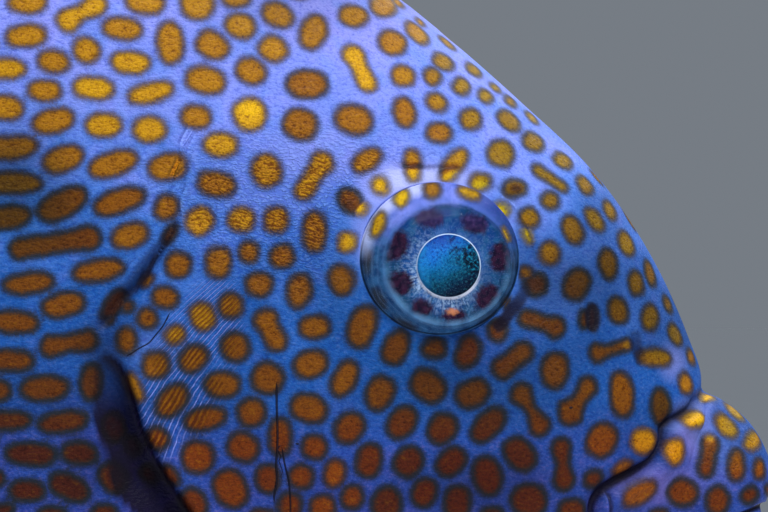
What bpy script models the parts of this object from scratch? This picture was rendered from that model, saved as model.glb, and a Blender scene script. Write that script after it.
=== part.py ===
"""A yellowspot rabbitfish (Siganus punctatus), life size, swimming level on a plain display stand.

Metres, +Z up. The snout points along +X, the tail along -X, and y = 0 is the middle plane.
The origin is on the floor, halfway between the tip of the snout and the tips of the tail.
"""

import bmesh
import bpy
import numpy as np
from mathutils import Vector

MM = 0.001
GAP = 0.3 * MM

# Size of the fish
TOTAL_LENGTH = 326 * MM
SNOUT_X = TOTAL_LENGTH / 2
TAIL_TIP_X = -TOTAL_LENGTH / 2
PEDUNCLE_END_X = -99 * MM
BODY_AXIS_Z = 135.6 * MM

# The edges of the body in side view, from the mouth to the root of the tail fin: x, z
BACK_EDGE = np.array([
    (159.6, 113.2), (161.3, 114.0), (162.6, 115.5), (163.0, 117.7), (162.4, 119.7), (160.2, 123.2),
    (157.6, 125.2), (155.6, 126.3), (155.5, 127.8), (154.2, 131.7), (150.3, 140.2), (143.9, 149.4),
    (136.7, 156.3), (124.1, 167.1), (108.0, 178.6), (92.0, 188.2), (72.0, 196.8), (48.0, 201.8),
    (18.0, 200.4), (-14.0, 191.0), (-42.0, 175.6), (-64.0, 159.4), (-78.0, 149.2), (-88.0, 145.2),
    (-99.0, 146.4),
]) * MM
BELLY_EDGE = np.array([
    (159.4, 112.6), (159.5, 111.2), (158.4, 109.0), (155.4, 106.7), (150.2, 103.6), (139.7, 97.6),
    (127.0, 90.4), (110.0, 81.6), (90.0, 73.8), (68.0, 68.4), (42.0, 66.0), (18.0, 68.4),
    (-12.0, 78.4), (-40.0, 94.6), (-62.0, 111.6), (-77.0, 122.4), (-88.0, 126.2), (-99.0, 124.8),
]) * MM

# Greatest half width of the body against the distance along the back from the mouth
WIDTH_AT = np.array([0, 1, 2.5, 5, 9, 15, 22, 32, 46, 62, 80, 102, 130, 165, 205, 245, 275, 300, 335]) * MM
HALF_WIDTH = np.array([
    0, 2.4, 3.9, 5.5, 6.9, 8.0, 9.2, 11.4, 14.8, 17.2, 19.0, 20.8, 22.2, 22.8, 20.4, 14.6, 9.2, 5.6, 4.0,
]) * MM
BACK_FULLNESS = 0.86
BELLY_FULLNESS = 0.74

# Each section joins a point of the back edge to one of the belly edge, as shares of their lengths
SECTION_ENDS = [
    (0, 0), (0.05, 0.038), (0.13, 0.078), (0.24, 0.115), (0.345, 0.165), (0.45, 0.27), (0.58, 0.43),
    (0.72, 0.62), (0.85, 0.805), (1, 1),
]

# How the body is divided, as shares of its length along the back
GILL_SHARE = 0.345
TAIL_SHARE = 0.83
SIDES = 20

# Eyes
EYE_X = 128.1 * MM
EYE_Z = 140.0 * MM
EYE_RADIUS = 9.3 * MM
EYE_DEPTH = 6.2 * MM
EYE_SINK = 2.9 * MM

# Head parts in side view: x, z
UPPER_JAW = [
    (153.4, 127.2), (152.9, 123.4), (151.3, 121.2), (150.6, 119.2), (147.6, 117.0), (145.2, 116.0),
    (146.0, 112.6), (149.1, 111.0), (153.3, 111.3), (156.6, 112.3), (159.8, 113.0), (166.0, 112.0),
    (167.0, 122.0), (160.0, 129.5), (155.9, 127.2),
]
LOWER_JAW = [
    (145.6, 112.2), (149.1, 110.6), (153.3, 110.9), (156.6, 111.9), (159.8, 112.6), (166.0, 111.6),
    (166.0, 104.0), (150.0, 97.0), (141.2, 96.0), (142.6, 104.0),
]
GILL_COVER = [
    (107.6, 147.0), (101.5, 144.4), (96.0, 138.2), (92.4, 131.6), (94.6, 126.6), (98.4, 120.0),
    (102.6, 112.6), (108.6, 104.6), (117.0, 97.4), (123.6, 95.6), (116.4, 106.0), (112.6, 116.0),
    (111.2, 126.8), (111.6, 138.0),
]
GILL_OPENING = [
    (92.0, 133.6), (90.7, 130.0), (91.0, 121.0), (92.8, 112.6), (97.6, 103.6), (106.0, 95.8),
    (117.6, 89.4), (123.0, 92.0), (117.0, 97.0), (108.4, 104.2), (102.3, 112.4), (98.1, 119.8),
    (94.3, 126.4),
]
COVER_INNER_Y = 14.6 * MM
OPENING_FLOOR_Y = 15.6 * MM
OUTSIDE_Y = 32 * MM
NOSTRILS = [((144.2, 133.8), 0.8, 1.45, -8.0), ((142.5, 137.3), 0.6, 0.8, 0.0)]
NOSTRIL_DEPTH = 1.6 * MM

# Median fins: where the first and last rays stand on the edge, x, and ray lengths in mm
SPINY_DORSAL = dict(span=(83.0, -8.0), lengths=(11, 18, 24, 28, 30, 31, 30.5, 30, 29, 28, 27, 26, 25))
SOFT_DORSAL = dict(span=(-9.8, -56.0), lengths=(28, 30, 31, 31, 30, 28, 25.5, 22.5, 19, 15))
SPINY_ANAL = dict(span=(22.0, -10.5), lengths=(11, 16, 20, 22.5, 23.5, 24, 24))
SOFT_ANAL = dict(span=(-12.4, -54.5), lengths=(27, 29, 29.5, 29, 27.5, 25, 22, 18.5, 15))
SPINE_HALF_WIDTH = 1.15 * MM
RAY_HALF_WIDTH = 0.75 * MM
MEMBRANE_HALF_WIDTH = 0.3 * MM

# Tail fin
TAIL_HALF_SPREAD = 43.0 * MM
FORK_X = -127.0 * MM
TAIL_RAYS = 9

# Paired fins
PECTORAL_ROOT = ((85.6, 107.6), (89.6, 96.4))
PECTORAL_RAYS = 13
PECTORAL_LENGTH = 46 * MM
PELVIC_ROOT_X = (75.0, 64.0)
PELVIC_ROOT_Y = 7.0 * MM
PELVIC_LENGTHS = (25, 27, 26, 24, 20)

# Stand
BASE_SIZE = (176 * MM, 92 * MM, 12 * MM)
BASE_MIDDLE_X = 54 * MM
BASE_BEVEL = 2 * MM
ROD_RADIUS = 3 * MM
ROD_X = {"front": 98 * MM, "rear": 33 * MM}
SEAT_DEPTH = 5 * MM


def material(name, colour, roughness, metallic=0.0):
    made = bpy.data.materials.new(name)
    made.use_nodes = True
    shader = made.node_tree.nodes["Principled BSDF"]
    shader.inputs["Base Color"].default_value = (*colour, 1)
    shader.inputs["Roughness"].default_value = roughness
    shader.inputs["Metallic"].default_value = metallic
    made.diffuse_color = (*colour, 1)
    return made


def new_node(name, points, faces, finish):
    """A named object from points and faces, with all its faces turned outwards."""
    mesh = bpy.data.meshes.new(name)
    mesh.from_pydata([tuple(p) for p in points], [], faces)
    shell = bmesh.new()
    shell.from_mesh(mesh)
    bmesh.ops.recalc_face_normals(shell, faces=shell.faces)
    shell.to_mesh(mesh)
    shell.free()
    mesh.materials.append(finish)
    node = bpy.data.objects.new(name, mesh)
    bpy.context.scene.collection.objects.link(node)
    return node


def smooth_line(points, steps=24):
    """Points close together on a smooth curve through the given ones, with their distances along it."""
    points = np.asarray(points, float)
    chords = np.linalg.norm(np.diff(points, axis=0), axis=1)
    knots = np.concatenate([[0], np.cumsum(chords)])
    tangents = np.gradient(points, knots, axis=0)
    fine = []
    for i, chord in enumerate(chords):
        t = np.linspace(0, 1, steps, endpoint=False)[:, None]
        fine.append(
            (2 * t**3 - 3 * t**2 + 1) * points[i]
            + (t**3 - 2 * t**2 + t) * chord * tangents[i]
            + (3 * t**2 - 2 * t**3) * points[i + 1]
            + (t**3 - t**2) * chord * tangents[i + 1]
        )
    fine = np.vstack([*fine, points[-1:]])
    lengths = np.concatenate([[0], np.cumsum(np.linalg.norm(np.diff(fine, axis=0), axis=1))])
    return fine, lengths


BACK_LINE, BACK_LENGTHS = smooth_line(BACK_EDGE)
BELLY_LINE, BELLY_LENGTHS = smooth_line(BELLY_EDGE)
SECTION_LINE, _ = smooth_line(SECTION_ENDS)


def at_share(line, lengths, share):
    """The x and z of the edge at a share of its length."""
    where = np.clip(share, 0, 1) * lengths[-1]
    return np.stack([np.interp(where, lengths, line[:, k]) for k in (0, 1)], axis=-1)


def section_ends(share):
    """The points of the back edge and of the belly edge that a section joins."""
    belly_share = np.interp(share, SECTION_LINE[:, 0], SECTION_LINE[:, 1])
    return at_share(BACK_LINE, BACK_LENGTHS, share), at_share(BELLY_LINE, BELLY_LENGTHS, belly_share)


def half_width(share):
    return np.interp(share * BACK_LENGTHS[-1], WIDTH_AT, HALF_WIDTH)


def across(share, height):
    """Half width of the body at a height from -1, the belly edge, to 1, the back edge."""
    fullness = np.where(height > 0, BACK_FULLNESS, BELLY_FULLNESS)
    return half_width(share) * np.clip(1 - height**2, 0, 1) ** (fullness / 2)


def column(share, height):
    """x and z of a point on the straight line from the belly edge to the back edge."""
    back, belly = section_ends(share)
    mix = (np.asarray(height)[..., None] + 1) / 2
    return belly + (back - belly) * mix


def ring(share):
    """One section of the body, from the back edge down one flank and up the other."""
    turn = np.linspace(0, np.pi, SIDES + 1)
    height = np.cos(turn)
    flank_xz = column(share, height)
    width = across(share, height)
    width[[0, -1]] = 0
    right = np.stack([flank_xz[:, 0], -width, flank_xz[:, 1]], axis=1)
    left = right[1:-1][::-1] * (1, -1, 1)
    return np.vstack([right, left])


def body_block(name, shares, finish):
    """The length of the body between the first and the last share, closed by a flat cap at each end."""
    rings = [ring(share) for share in shares]
    count = len(rings[0])
    faces = [
        (r * count + k, r * count + (k + 1) % count, (r + 1) * count + (k + 1) % count, (r + 1) * count + k)
        for r in range(len(rings) - 1)
        for k in range(count)
    ]
    faces.append(tuple(range(count)))
    faces.append(tuple(range((len(rings) - 1) * count, len(rings) * count)))
    return new_node(name, np.vstack(rings), faces, finish)


def flank_y(x, z):
    """Half width of the body at a point of the side view, by halving the share until its column passes the point."""
    low, high = 0.02, 1.0
    for _ in range(40):
        share = (low + high) / 2
        back, belly = section_ends(share)
        side = (back[0] - belly[0]) * (z - belly[1]) - (back[1] - belly[1]) * (x - belly[0])
        low, high = (low, share) if side < 0 else (share, high)
    height = 2 * (z - belly[1]) / (back[1] - belly[1]) - 1
    return float(across(share, np.array(height)))


def belly_z(x, y):
    """The height at which the underside has the half width y."""
    low, high = np.interp(x, BELLY_EDGE[::-1, 0], BELLY_EDGE[::-1, 1]), BODY_AXIS_Z
    for _ in range(40):
        middle = (low + high) / 2
        low, high = (middle, high) if flank_y(x, middle) < y else (low, middle)
    return middle


def prism(name, outline, y_near, y_far, grow=0.0):
    """A cutter with a side-view outline in mm, grown outwards, between two distances from the middle plane."""
    points = np.array(outline) * MM
    if grow:
        ahead = np.roll(points, -1, axis=0) - points
        behind = points - np.roll(points, 1, axis=0)
        ahead /= np.linalg.norm(ahead, axis=1)[:, None]
        behind /= np.linalg.norm(behind, axis=1)[:, None]
        outwards = np.stack([ahead[:, 1] + behind[:, 1], -ahead[:, 0] - behind[:, 0]], axis=1)
        outwards /= 1 + np.sum(ahead * behind, axis=1)[:, None]
        points = points + outwards * grow * turning(points)
    count = len(points)
    corners = [(x, y, z) for y in (y_near, y_far) for x, z in points]
    faces = [(k, (k + 1) % count, count + (k + 1) % count, count + k) for k in range(count)]
    faces += [tuple(range(count)), tuple(range(count, 2 * count))]
    return as_cutter(new_node(name, corners, faces, FINISH["skin"]))


def turning(points):
    """1 where the outline runs anticlockwise in side view, -1 where it runs clockwise."""
    ahead = np.roll(points, -1, axis=0)
    return np.sign(np.sum(points[:, 0] * ahead[:, 1] - ahead[:, 0] * points[:, 1]))


def as_cutter(node):
    node.hide_render = True
    node.display_type = "WIRE"
    return node


def ellipsoid(name, centre, radii, finish, segments=24, rings=12):
    ball = bmesh.new()
    bmesh.ops.create_uvsphere(ball, u_segments=segments, v_segments=rings, radius=1)
    bmesh.ops.scale(ball, vec=radii, verts=ball.verts)
    bmesh.ops.translate(ball, vec=centre, verts=ball.verts)
    points = [tuple(v.co) for v in ball.verts]
    faces = [tuple(v.index for v in f.verts) for f in ball.faces]
    ball.free()
    return new_node(name, points, faces, finish)


def rod(name, x, y, z_low, z_high, radius, finish, sides=24):
    turn = np.linspace(0, 2 * np.pi, sides, endpoint=False)
    corners = [(x + radius * np.cos(a), y + radius * np.sin(a), z) for z in (z_low, z_high) for a in turn]
    faces = [(k, (k + 1) % sides, sides + (k + 1) % sides, sides + k) for k in range(sides)]
    faces += [tuple(range(sides)), tuple(range(sides, 2 * sides))]
    return new_node(name, corners, faces, finish)


def combine(node, cutter, operation):
    change = node.modifiers.new(operation.title(), "BOOLEAN")
    change.operation = operation
    change.object = cutter


def settle(node):
    """Applies the node's Booleans and keeps its largest closed surface."""
    graph = bpy.context.evaluated_depsgraph_get()
    mesh = bpy.data.meshes.new_from_object(node.evaluated_get(graph))
    node.modifiers.clear()
    node.data = mesh
    shell = bmesh.new()
    shell.from_mesh(mesh)
    left = set(shell.faces)
    islands = []
    while left:
        front = [left.pop()]
        island = set(front)
        while front:
            beside = {f for e in front.pop().edges for f in e.link_faces} & left
            left -= beside
            island |= beside
            front += beside
        islands.append(island)
    largest = max(islands, key=len)
    spare = [f for island in islands if island is not largest for f in island]
    bmesh.ops.delete(shell, geom=spare, context="FACES")
    shell.to_mesh(mesh)
    shell.free()


def fin(name, roots, tips, bend, normal, half_widths, notch, finish, rows=6, columns=4, tip_half_width=0.12 * MM):
    """A ribbed fin. Each ray runs from its root to its tip, and the membrane between two rays ends short of them."""
    roots, tips = np.array(roots, float), np.array(tips, float)
    rays = len(roots)
    number = np.arange(rays)
    places = np.linspace(0, rays - 1, (rays - 1) * columns + 1)
    aside = np.abs(places - np.round(places)) * 2
    reach = 1 - notch * np.sin(np.pi * aside / 2) ** 1.2
    ridge = np.clip(1 - aside * 1.9, 0, 1)
    spread = lambda of_rays: np.stack([np.interp(places, number, of_rays[:, k]) for k in range(3)], axis=1)
    root, tip = spread(roots), spread(tips)
    along = np.linspace(0, 1, rows + 1)[:, None] * reach
    bends = np.broadcast_to(np.array(bend, float), (rays, 3))
    curve = np.sin(np.pi * along)[..., None] * spread(bends)
    middle = root + (tip - root) * along[..., None] + curve
    thick = np.interp(places, number, np.broadcast_to(half_widths, rays))
    raised = MEMBRANE_HALF_WIDTH + (thick - MEMBRANE_HALF_WIDTH) * ridge
    thin = tip_half_width + (raised - tip_half_width) * (1 - along**1.5)
    offset = thin[..., None] * np.array(normal, float)
    wide = len(places)
    points = np.vstack([(middle + offset).reshape(-1, 3), (middle - offset).reshape(-1, 3)])
    back = (rows + 1) * wide
    faces = []
    for r in range(rows):
        for c in range(wide - 1):
            a, b, d, e = r * wide + c, r * wide + c + 1, (r + 1) * wide + c + 1, (r + 1) * wide + c
            faces += [(a, b, d), (a, d, e), (back + a, back + d, back + b), (back + a, back + e, back + d)]
    border = [(c, c + 1) for c in range(wide - 1)]
    border += [((r + 1) * wide - 1, (r + 2) * wide - 1) for r in range(rows)]
    border += [(rows * wide + c + 1, rows * wide + c) for c in range(wide - 1)]
    border += [((r + 1) * wide, r * wide) for r in range(rows)]
    faces += [(b, a, back + a) for a, b in border] + [(b, back + a, back + b) for a, b in border]
    return new_node(name, points, faces, finish)


def edge_fin(name, line, form, upwards, spread, half_width_root, notch, columns, finish):
    """A fin on the back or belly edge. Its rays lean back from the edge's own normal by the spread, first to last."""
    low, high = form["span"]
    xs = np.linspace(low, high, len(form["lengths"])) * MM
    order = np.argsort(line[:, 0])
    zs = np.interp(xs, line[order, 0], line[order, 1])
    slope = np.interp(xs, line[order, 0], np.gradient(line[order, 1], line[order, 0]))
    outward = np.stack([-slope, 0 * xs, 0 * xs + 1], axis=1) * upwards
    outward /= np.linalg.norm(outward, axis=1)[:, None]
    edge = np.stack([xs, 0 * xs, zs], axis=1)
    roots = edge + outward * GAP
    lean = np.radians(np.linspace(*spread, len(xs)))[:, None]
    tailwards = np.stack([-outward[:, 2], 0 * xs, outward[:, 0]], axis=1) * upwards
    direction = outward * np.cos(lean) + tailwards * np.sin(lean)
    tips = roots + direction * np.array(form["lengths"])[:, None] * MM
    return fin(name, roots, tips, (0, 0, 0), (0, 1, 0), half_width_root, notch, finish, columns=columns)


def tail_lobe(name, side):
    """Half of the forked tail fin: its rays fan from the end of the body to the lobe's trailing edge."""
    share = np.linspace(0, 1, TAIL_RAYS)
    root_half_height = 10.4 * MM
    middle_gap = 0.4 * MM
    root_z = BODY_AXIS_Z + side * (middle_gap + (root_half_height - middle_gap) * share)
    roots = np.stack([0 * share + PEDUNCLE_END_X - GAP, 0 * share, root_z], axis=1)
    tip_x = FORK_X + (TAIL_TIP_X - FORK_X) * share**1.25
    tip_z = BODY_AXIS_Z + side * (middle_gap + (TAIL_HALF_SPREAD - middle_gap) * share**0.92)
    tips = np.stack([tip_x, 0 * share, tip_z], axis=1)
    widths = np.linspace(1.0, 2.2, TAIL_RAYS) * MM
    bend = np.stack([-1.5 * MM * share, 0 * share, side * 3.0 * MM * share], axis=1)
    return fin(name, roots, tips, bend, (0, 1, 0), widths, 0.03, FINISH["fin"], rows=7, columns=3)


def pectoral_fin(name, side):
    """A rounded fan that leans out from the flank behind the gill cover."""
    (top_x, top_z), (low_x, low_z) = PECTORAL_ROOT
    share = np.linspace(0, 1, PECTORAL_RAYS)
    x = (top_x + (low_x - top_x) * share) * MM
    z = (top_z + (low_z - top_z) * share) * MM
    stand_off = 1.0 * MM
    y = np.array([flank_y(a, b) for a, b in zip(x, z)]) + stand_off
    roots = np.stack([x, side * y, z], axis=1)
    angle = np.radians(np.linspace(176, 236, PECTORAL_RAYS))
    lengths = PECTORAL_LENGTH * (1 - 0.55 * np.abs(share - 0.22) ** 1.2)
    outward = np.radians(25)
    direction = np.stack([np.cos(angle) * np.cos(outward), 0 * x + side * np.sin(outward), np.sin(angle)], axis=1)
    direction /= np.linalg.norm(direction, axis=1)[:, None]
    tips = roots + direction * lengths[:, None]
    normal = Vector((np.sin(outward), side * np.cos(outward), 0.0))
    return fin(
        name, roots, tips, (0, side * 1.5 * MM, 0), normal, RAY_HALF_WIDTH, 0.03, FINISH["fin"], rows=5, columns=3
    )


def pelvic_fin(name, side):
    """A spine at each side and three soft rays between them, hanging back and out from the belly."""
    count = len(PELVIC_LENGTHS)
    x = np.linspace(*PELVIC_ROOT_X, count) * MM
    y = np.linspace(PELVIC_ROOT_Y, 0.6 * PELVIC_ROOT_Y, count)
    z = np.array([belly_z(a, b) for a, b in zip(x, y)]) - 1.2 * MM
    roots = np.stack([x, side * y, z], axis=1)
    angle = np.radians(np.linspace(228, 208, count))
    outward = np.radians(22)
    direction = np.stack([np.cos(angle), side * np.sin(-angle) * np.sin(outward), np.sin(angle)], axis=1)
    direction /= np.linalg.norm(direction, axis=1)[:, None]
    tips = roots + direction * np.array(PELVIC_LENGTHS)[:, None] * MM
    normal = Vector((0.0, side * np.cos(outward), np.sin(outward)))
    widths = np.array([1.2, 0.7, 0.7, 0.7, 1.0]) * MM
    return fin(name, roots, tips, (0, 0, 0), normal, widths, 0.06, FINISH["fin"], rows=6)


def head_and_body():
    """The body in three lengths, the gill covers and the jaws, parted by thin cuts."""
    last = BACK_LENGTHS[-1]
    half_gap = GAP / 2 / last
    mouth = 0.6 * MM / last
    head_shares = mouth + (GILL_SHARE - half_gap - mouth) * np.linspace(0, 1, 29) ** 1.25
    head = body_block("head", head_shares, FINISH["skin"])
    trunk = body_block("trunk", np.linspace(GILL_SHARE + half_gap, TAIL_SHARE - half_gap, 22), FINISH["skin"])
    body_block("tail_stalk", np.linspace(TAIL_SHARE + half_gap, 1, 8), FINISH["skin"])

    jaws = {"upper_jaw": UPPER_JAW, "lower_jaw": LOWER_JAW}
    for name, outline in jaws.items():
        jaw = body_block(name, head_shares[:18], FINISH["skin"])
        combine(jaw, prism(name + "_form", outline, -OUTSIDE_Y, OUTSIDE_Y), "INTERSECT")
        settle(jaw)
        combine(head, prism(name + "_cut", outline, -OUTSIDE_Y, OUTSIDE_Y, grow=GAP), "DIFFERENCE")

    for side, word in ((-1, "right"), (1, "left")):
        cover = body_block("gill_cover_" + word, np.linspace(0.22, 0.45, 20), FINISH["skin"])
        form = prism("cover_form_" + word, GILL_COVER, side * COVER_INNER_Y, side * OUTSIDE_Y)
        combine(cover, form, "INTERSECT")
        settle(cover)
        seat = prism("cover_cut_" + word, GILL_COVER, side * (COVER_INNER_Y - GAP), side * OUTSIDE_Y, grow=GAP)
        opening = prism("opening_cut_" + word, GILL_OPENING, side * OPENING_FLOOR_Y, side * OUTSIDE_Y)
        for node in (head, trunk):
            combine(node, seat, "DIFFERENCE")
            combine(node, opening, "DIFFERENCE")
        eye_and_nostrils(head, side, word)
    for place, x in ROD_X.items():
        socket = rod("socket_" + place, x, 0, 0, seat_z(x) + GAP, ROD_RADIUS + GAP, FINISH["steel"])
        combine(trunk, as_cutter(socket), "DIFFERENCE")
    settle(head)
    settle(trunk)


def eye_and_nostrils(head, side, word):
    centre = (EYE_X, side * (flank_y(EYE_X, EYE_Z) - EYE_SINK), EYE_Z)
    radii = (EYE_RADIUS, EYE_DEPTH, EYE_RADIUS)
    ellipsoid("eye_" + word, centre, radii, FINISH["eye"])
    socket = ellipsoid("eye_socket_" + word, centre, [r + GAP for r in radii], FINISH["eye"])
    combine(head, as_cutter(socket), "DIFFERENCE")
    for number, ((x, z), wide, tall, tilt) in enumerate(NOSTRILS):
        surface = flank_y(x * MM, z * MM)
        turn = np.linspace(0, 2 * np.pi, 10, endpoint=False)
        lean = np.radians(tilt)
        across_x, up_z = wide * np.cos(turn), tall * np.sin(turn)
        outline = np.stack([
            x + across_x * np.cos(lean) - up_z * np.sin(lean),
            z + across_x * np.sin(lean) + up_z * np.cos(lean),
        ], axis=1)
        pit = prism(f"nostril_{word}_{number}", outline, side * (surface - NOSTRIL_DEPTH), side * OUTSIDE_Y)
        combine(head, pit, "DIFFERENCE")


def seat_z(x):
    """The top of a rod, a little way up inside the belly."""
    return np.interp(x, BELLY_EDGE[::-1, 0], BELLY_EDGE[::-1, 1]) + SEAT_DEPTH


def median_fins():
    spine = dict(half_width_root=SPINE_HALF_WIDTH, notch=0.14, columns=4, finish=FINISH["fin"])
    soft = dict(half_width_root=RAY_HALF_WIDTH, notch=0.03, columns=3, finish=FINISH["fin"])
    edge_fin("dorsal_fin_spines", BACK_LINE[120:], SPINY_DORSAL, 1, (30, 42), **spine)
    edge_fin("dorsal_fin_rays", BACK_LINE[120:], SOFT_DORSAL, 1, (43, 64), **soft)
    edge_fin("anal_fin_spines", BELLY_LINE[72:], SPINY_ANAL, -1, (38, 44), **spine)
    edge_fin("anal_fin_rays", BELLY_LINE[72:], SOFT_ANAL, -1, (45, 64), **soft)
    tail_lobe("tail_fin_upper", 1)
    tail_lobe("tail_fin_lower", -1)


def stand():
    """A plain wooden base and two steel rods that end inside the belly."""
    length, width, height = BASE_SIZE
    box = bmesh.new()
    bmesh.ops.create_cube(box, size=1)
    bmesh.ops.scale(box, vec=BASE_SIZE, verts=box.verts)
    bmesh.ops.translate(box, vec=(BASE_MIDDLE_X, 0, height / 2), verts=box.verts)
    top_edges = [e for e in box.edges if min(v.co.z for v in e.verts) > height / 2]
    upright = [e for e in box.edges if abs(e.verts[0].co.z - e.verts[1].co.z) > height / 2]
    bmesh.ops.bevel(box, geom=top_edges + upright, offset=BASE_BEVEL, segments=3, profile=0.5, affect="EDGES")
    points = [tuple(v.co) for v in box.verts]
    faces = [tuple(v.index for v in f.verts) for f in box.faces]
    box.free()
    base = new_node("stand_base", points, faces, FINISH["wood"])
    for place, x in ROD_X.items():
        foot = height - SEAT_DEPTH
        rod("stand_rod_" + place, x, 0, foot, seat_z(x), ROD_RADIUS, FINISH["steel"])
        hole = rod("rod_hole_" + place, x, 0, foot - GAP, 2 * height, ROD_RADIUS + GAP, FINISH["steel"])
        combine(base, as_cutter(hole), "DIFFERENCE")
    settle(base)


def shade_round_pieces():
    for node in bpy.context.scene.objects:
        if node.type == "MESH":
            node.data.shade_smooth()
            node.data.set_sharp_from_angle(angle=np.radians(38))


for old in list(bpy.data.objects):
    bpy.data.objects.remove(old, do_unlink=True)

FINISH = {
    "skin": material("skin", (0.16, 0.22, 0.72), 0.42),
    "fin": material("fin", (0.30, 0.24, 0.22), 0.48),
    "eye": material("eye", (0.02, 0.14, 0.22), 0.08),
    "wood": material("wood", (0.09, 0.05, 0.03), 0.45),
    "steel": material("steel", (0.55, 0.56, 0.58), 0.3, 1.0),
}
head_and_body()
median_fins()
for fin_side, fin_word in ((-1, "right"), (1, "left")):
    pectoral_fin("pectoral_fin_" + fin_word, fin_side)
    pelvic_fin("pelvic_fin_" + fin_word, fin_side)
stand()
shade_round_pieces()
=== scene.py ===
"""The looks of a gold-spotted rabbitfish (Siganus punctatus), life size, on its display stand.

Metres, +Z up, the snout along +X. The photo shows the right side of the head, so places seen in it are kept
in its own pixels and are carried onto the body by the scale below.
"""

import math

import bmesh
import bpy
import numpy as np
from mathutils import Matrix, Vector, kdtree


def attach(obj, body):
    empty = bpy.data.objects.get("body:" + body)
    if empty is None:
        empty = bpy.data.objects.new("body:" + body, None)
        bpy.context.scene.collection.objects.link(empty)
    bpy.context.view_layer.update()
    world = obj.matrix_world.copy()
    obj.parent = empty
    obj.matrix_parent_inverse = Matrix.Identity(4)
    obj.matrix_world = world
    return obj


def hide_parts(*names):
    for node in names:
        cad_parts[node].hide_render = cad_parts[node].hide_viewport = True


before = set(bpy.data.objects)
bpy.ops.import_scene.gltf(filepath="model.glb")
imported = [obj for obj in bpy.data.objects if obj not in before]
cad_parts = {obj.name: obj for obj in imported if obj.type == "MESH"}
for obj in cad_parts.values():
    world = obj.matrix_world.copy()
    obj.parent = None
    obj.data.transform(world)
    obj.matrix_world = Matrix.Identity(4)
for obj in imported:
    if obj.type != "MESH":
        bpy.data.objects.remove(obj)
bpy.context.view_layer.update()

MM = 0.001

# The photo's scale: the size of a pixel in the fish's middle plane, and the x and z that its centre shows
IMAGE_WIDTH, IMAGE_HEIGHT = 768, 512
PIXEL = 0.105 * MM
VIEW_CENTRE = (122.26 * MM, 140.21 * MM)
CAMERA_DISTANCE = 800 * MM
SENSOR_MM = 36.0

# The body's form, as in the solids: edges in side view, x and z in mm, from the mouth to the tail
BACK_EDGE = np.array([
    (159.6, 113.2), (161.3, 114.0), (162.6, 115.5), (163.0, 117.7), (162.4, 119.7), (160.2, 123.2),
    (157.6, 125.2), (155.6, 126.3), (155.5, 127.8), (154.2, 131.7), (150.3, 140.2), (143.9, 149.4),
    (136.7, 156.3), (124.1, 167.1), (108.0, 178.6), (92.0, 188.2), (72.0, 196.8), (48.0, 201.8),
    (18.0, 200.4), (-14.0, 191.0), (-42.0, 175.6), (-64.0, 159.4), (-78.0, 149.2), (-88.0, 145.2),
    (-99.0, 146.4),
]) * MM
BELLY_EDGE = np.array([
    (159.4, 112.6), (159.5, 111.2), (158.4, 109.0), (155.4, 106.7), (150.2, 103.6), (139.7, 97.6),
    (127.0, 90.4), (110.0, 81.6), (90.0, 73.8), (68.0, 68.4), (42.0, 66.0), (18.0, 68.4),
    (-12.0, 78.4), (-40.0, 94.6), (-62.0, 111.6), (-77.0, 122.4), (-88.0, 126.2), (-99.0, 124.8),
]) * MM
WIDTH_AT = [0, 1, 2.5, 5, 9, 15, 22, 32, 46, 62, 80, 102, 130, 165, 205, 245, 275, 300, 335]
HALF_WIDTH = [
    0, 2.4, 3.9, 5.5, 6.9, 8.0, 9.2, 11.4, 14.8, 17.2, 19.0, 20.8, 22.2, 22.8, 20.4, 14.6, 9.2, 5.6, 4.0,
]
BACK_FULLNESS = 0.86
BELLY_FULLNESS = 0.74
SECTION_ENDS = [
    (0, 0), (0.05, 0.038), (0.13, 0.078), (0.24, 0.115), (0.345, 0.165), (0.45, 0.27), (0.58, 0.43),
    (0.72, 0.62), (0.85, 0.805), (1, 1),
]
BODY_AXIS_Z = 135.6 * MM
PEDUNCLE_END_X = -99 * MM
FLESH_NODES = (
    "head", "trunk", "tail_stalk", "upper_jaw", "lower_jaw", "gill_cover_right", "gill_cover_left",
)

# How finely the skin is divided
HEAD_SHARE = 0.40
HEAD_ROWS = 350
TRUNK_ROWS = 330
TAIL_CLOSING_ROWS = 12
TAIL_CLOSING_LENGTH = 4.5 * MM
HALF_COLUMNS = 300
HEAD_ROW_SPREAD = 1.08
TYPICAL_RATIO = 0.35
BISECTIONS = 40
MIRROR = np.array([1, -1, 1])

# The muscles' soft waves in the skin, and how near to the middle plane the skin's forms fade out
MUSCLE_PITCH, MUSCLE_HEIGHT = 26 * MM, 0.10 * MM
EDGE_FADE = 5 * MM


def hermite(t, start, end, start_slope, end_slope, step=1):
    """Places at the shares t of the smooth curve between two ends with their slopes."""
    return (
        (2 * t**3 - 3 * t**2 + 1) * start + (t**3 - 2 * t**2 + t) * step * start_slope
        + (3 * t**2 - 2 * t**3) * end + (t**3 - t**2) * step * end_slope
    )


def smooth_line(points, steps=24):
    """Points close together on a smooth curve through the given ones, with their distances along it."""
    points = np.asarray(points, float)
    chords = np.linalg.norm(np.diff(points, axis=0), axis=1)
    knots = np.concatenate([[0], np.cumsum(chords)])
    tangents = np.gradient(points, knots, axis=0)
    fine = []
    for i, chord in enumerate(chords):
        t = np.linspace(0, 1, steps, endpoint=False)[:, None]
        fine.append(hermite(t, points[i], points[i + 1], tangents[i], tangents[i + 1], chord))
    fine = np.vstack([*fine, points[-1:]])
    lengths = np.concatenate([[0], np.cumsum(np.linalg.norm(np.diff(fine, axis=0), axis=1))])
    return fine, lengths


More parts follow.
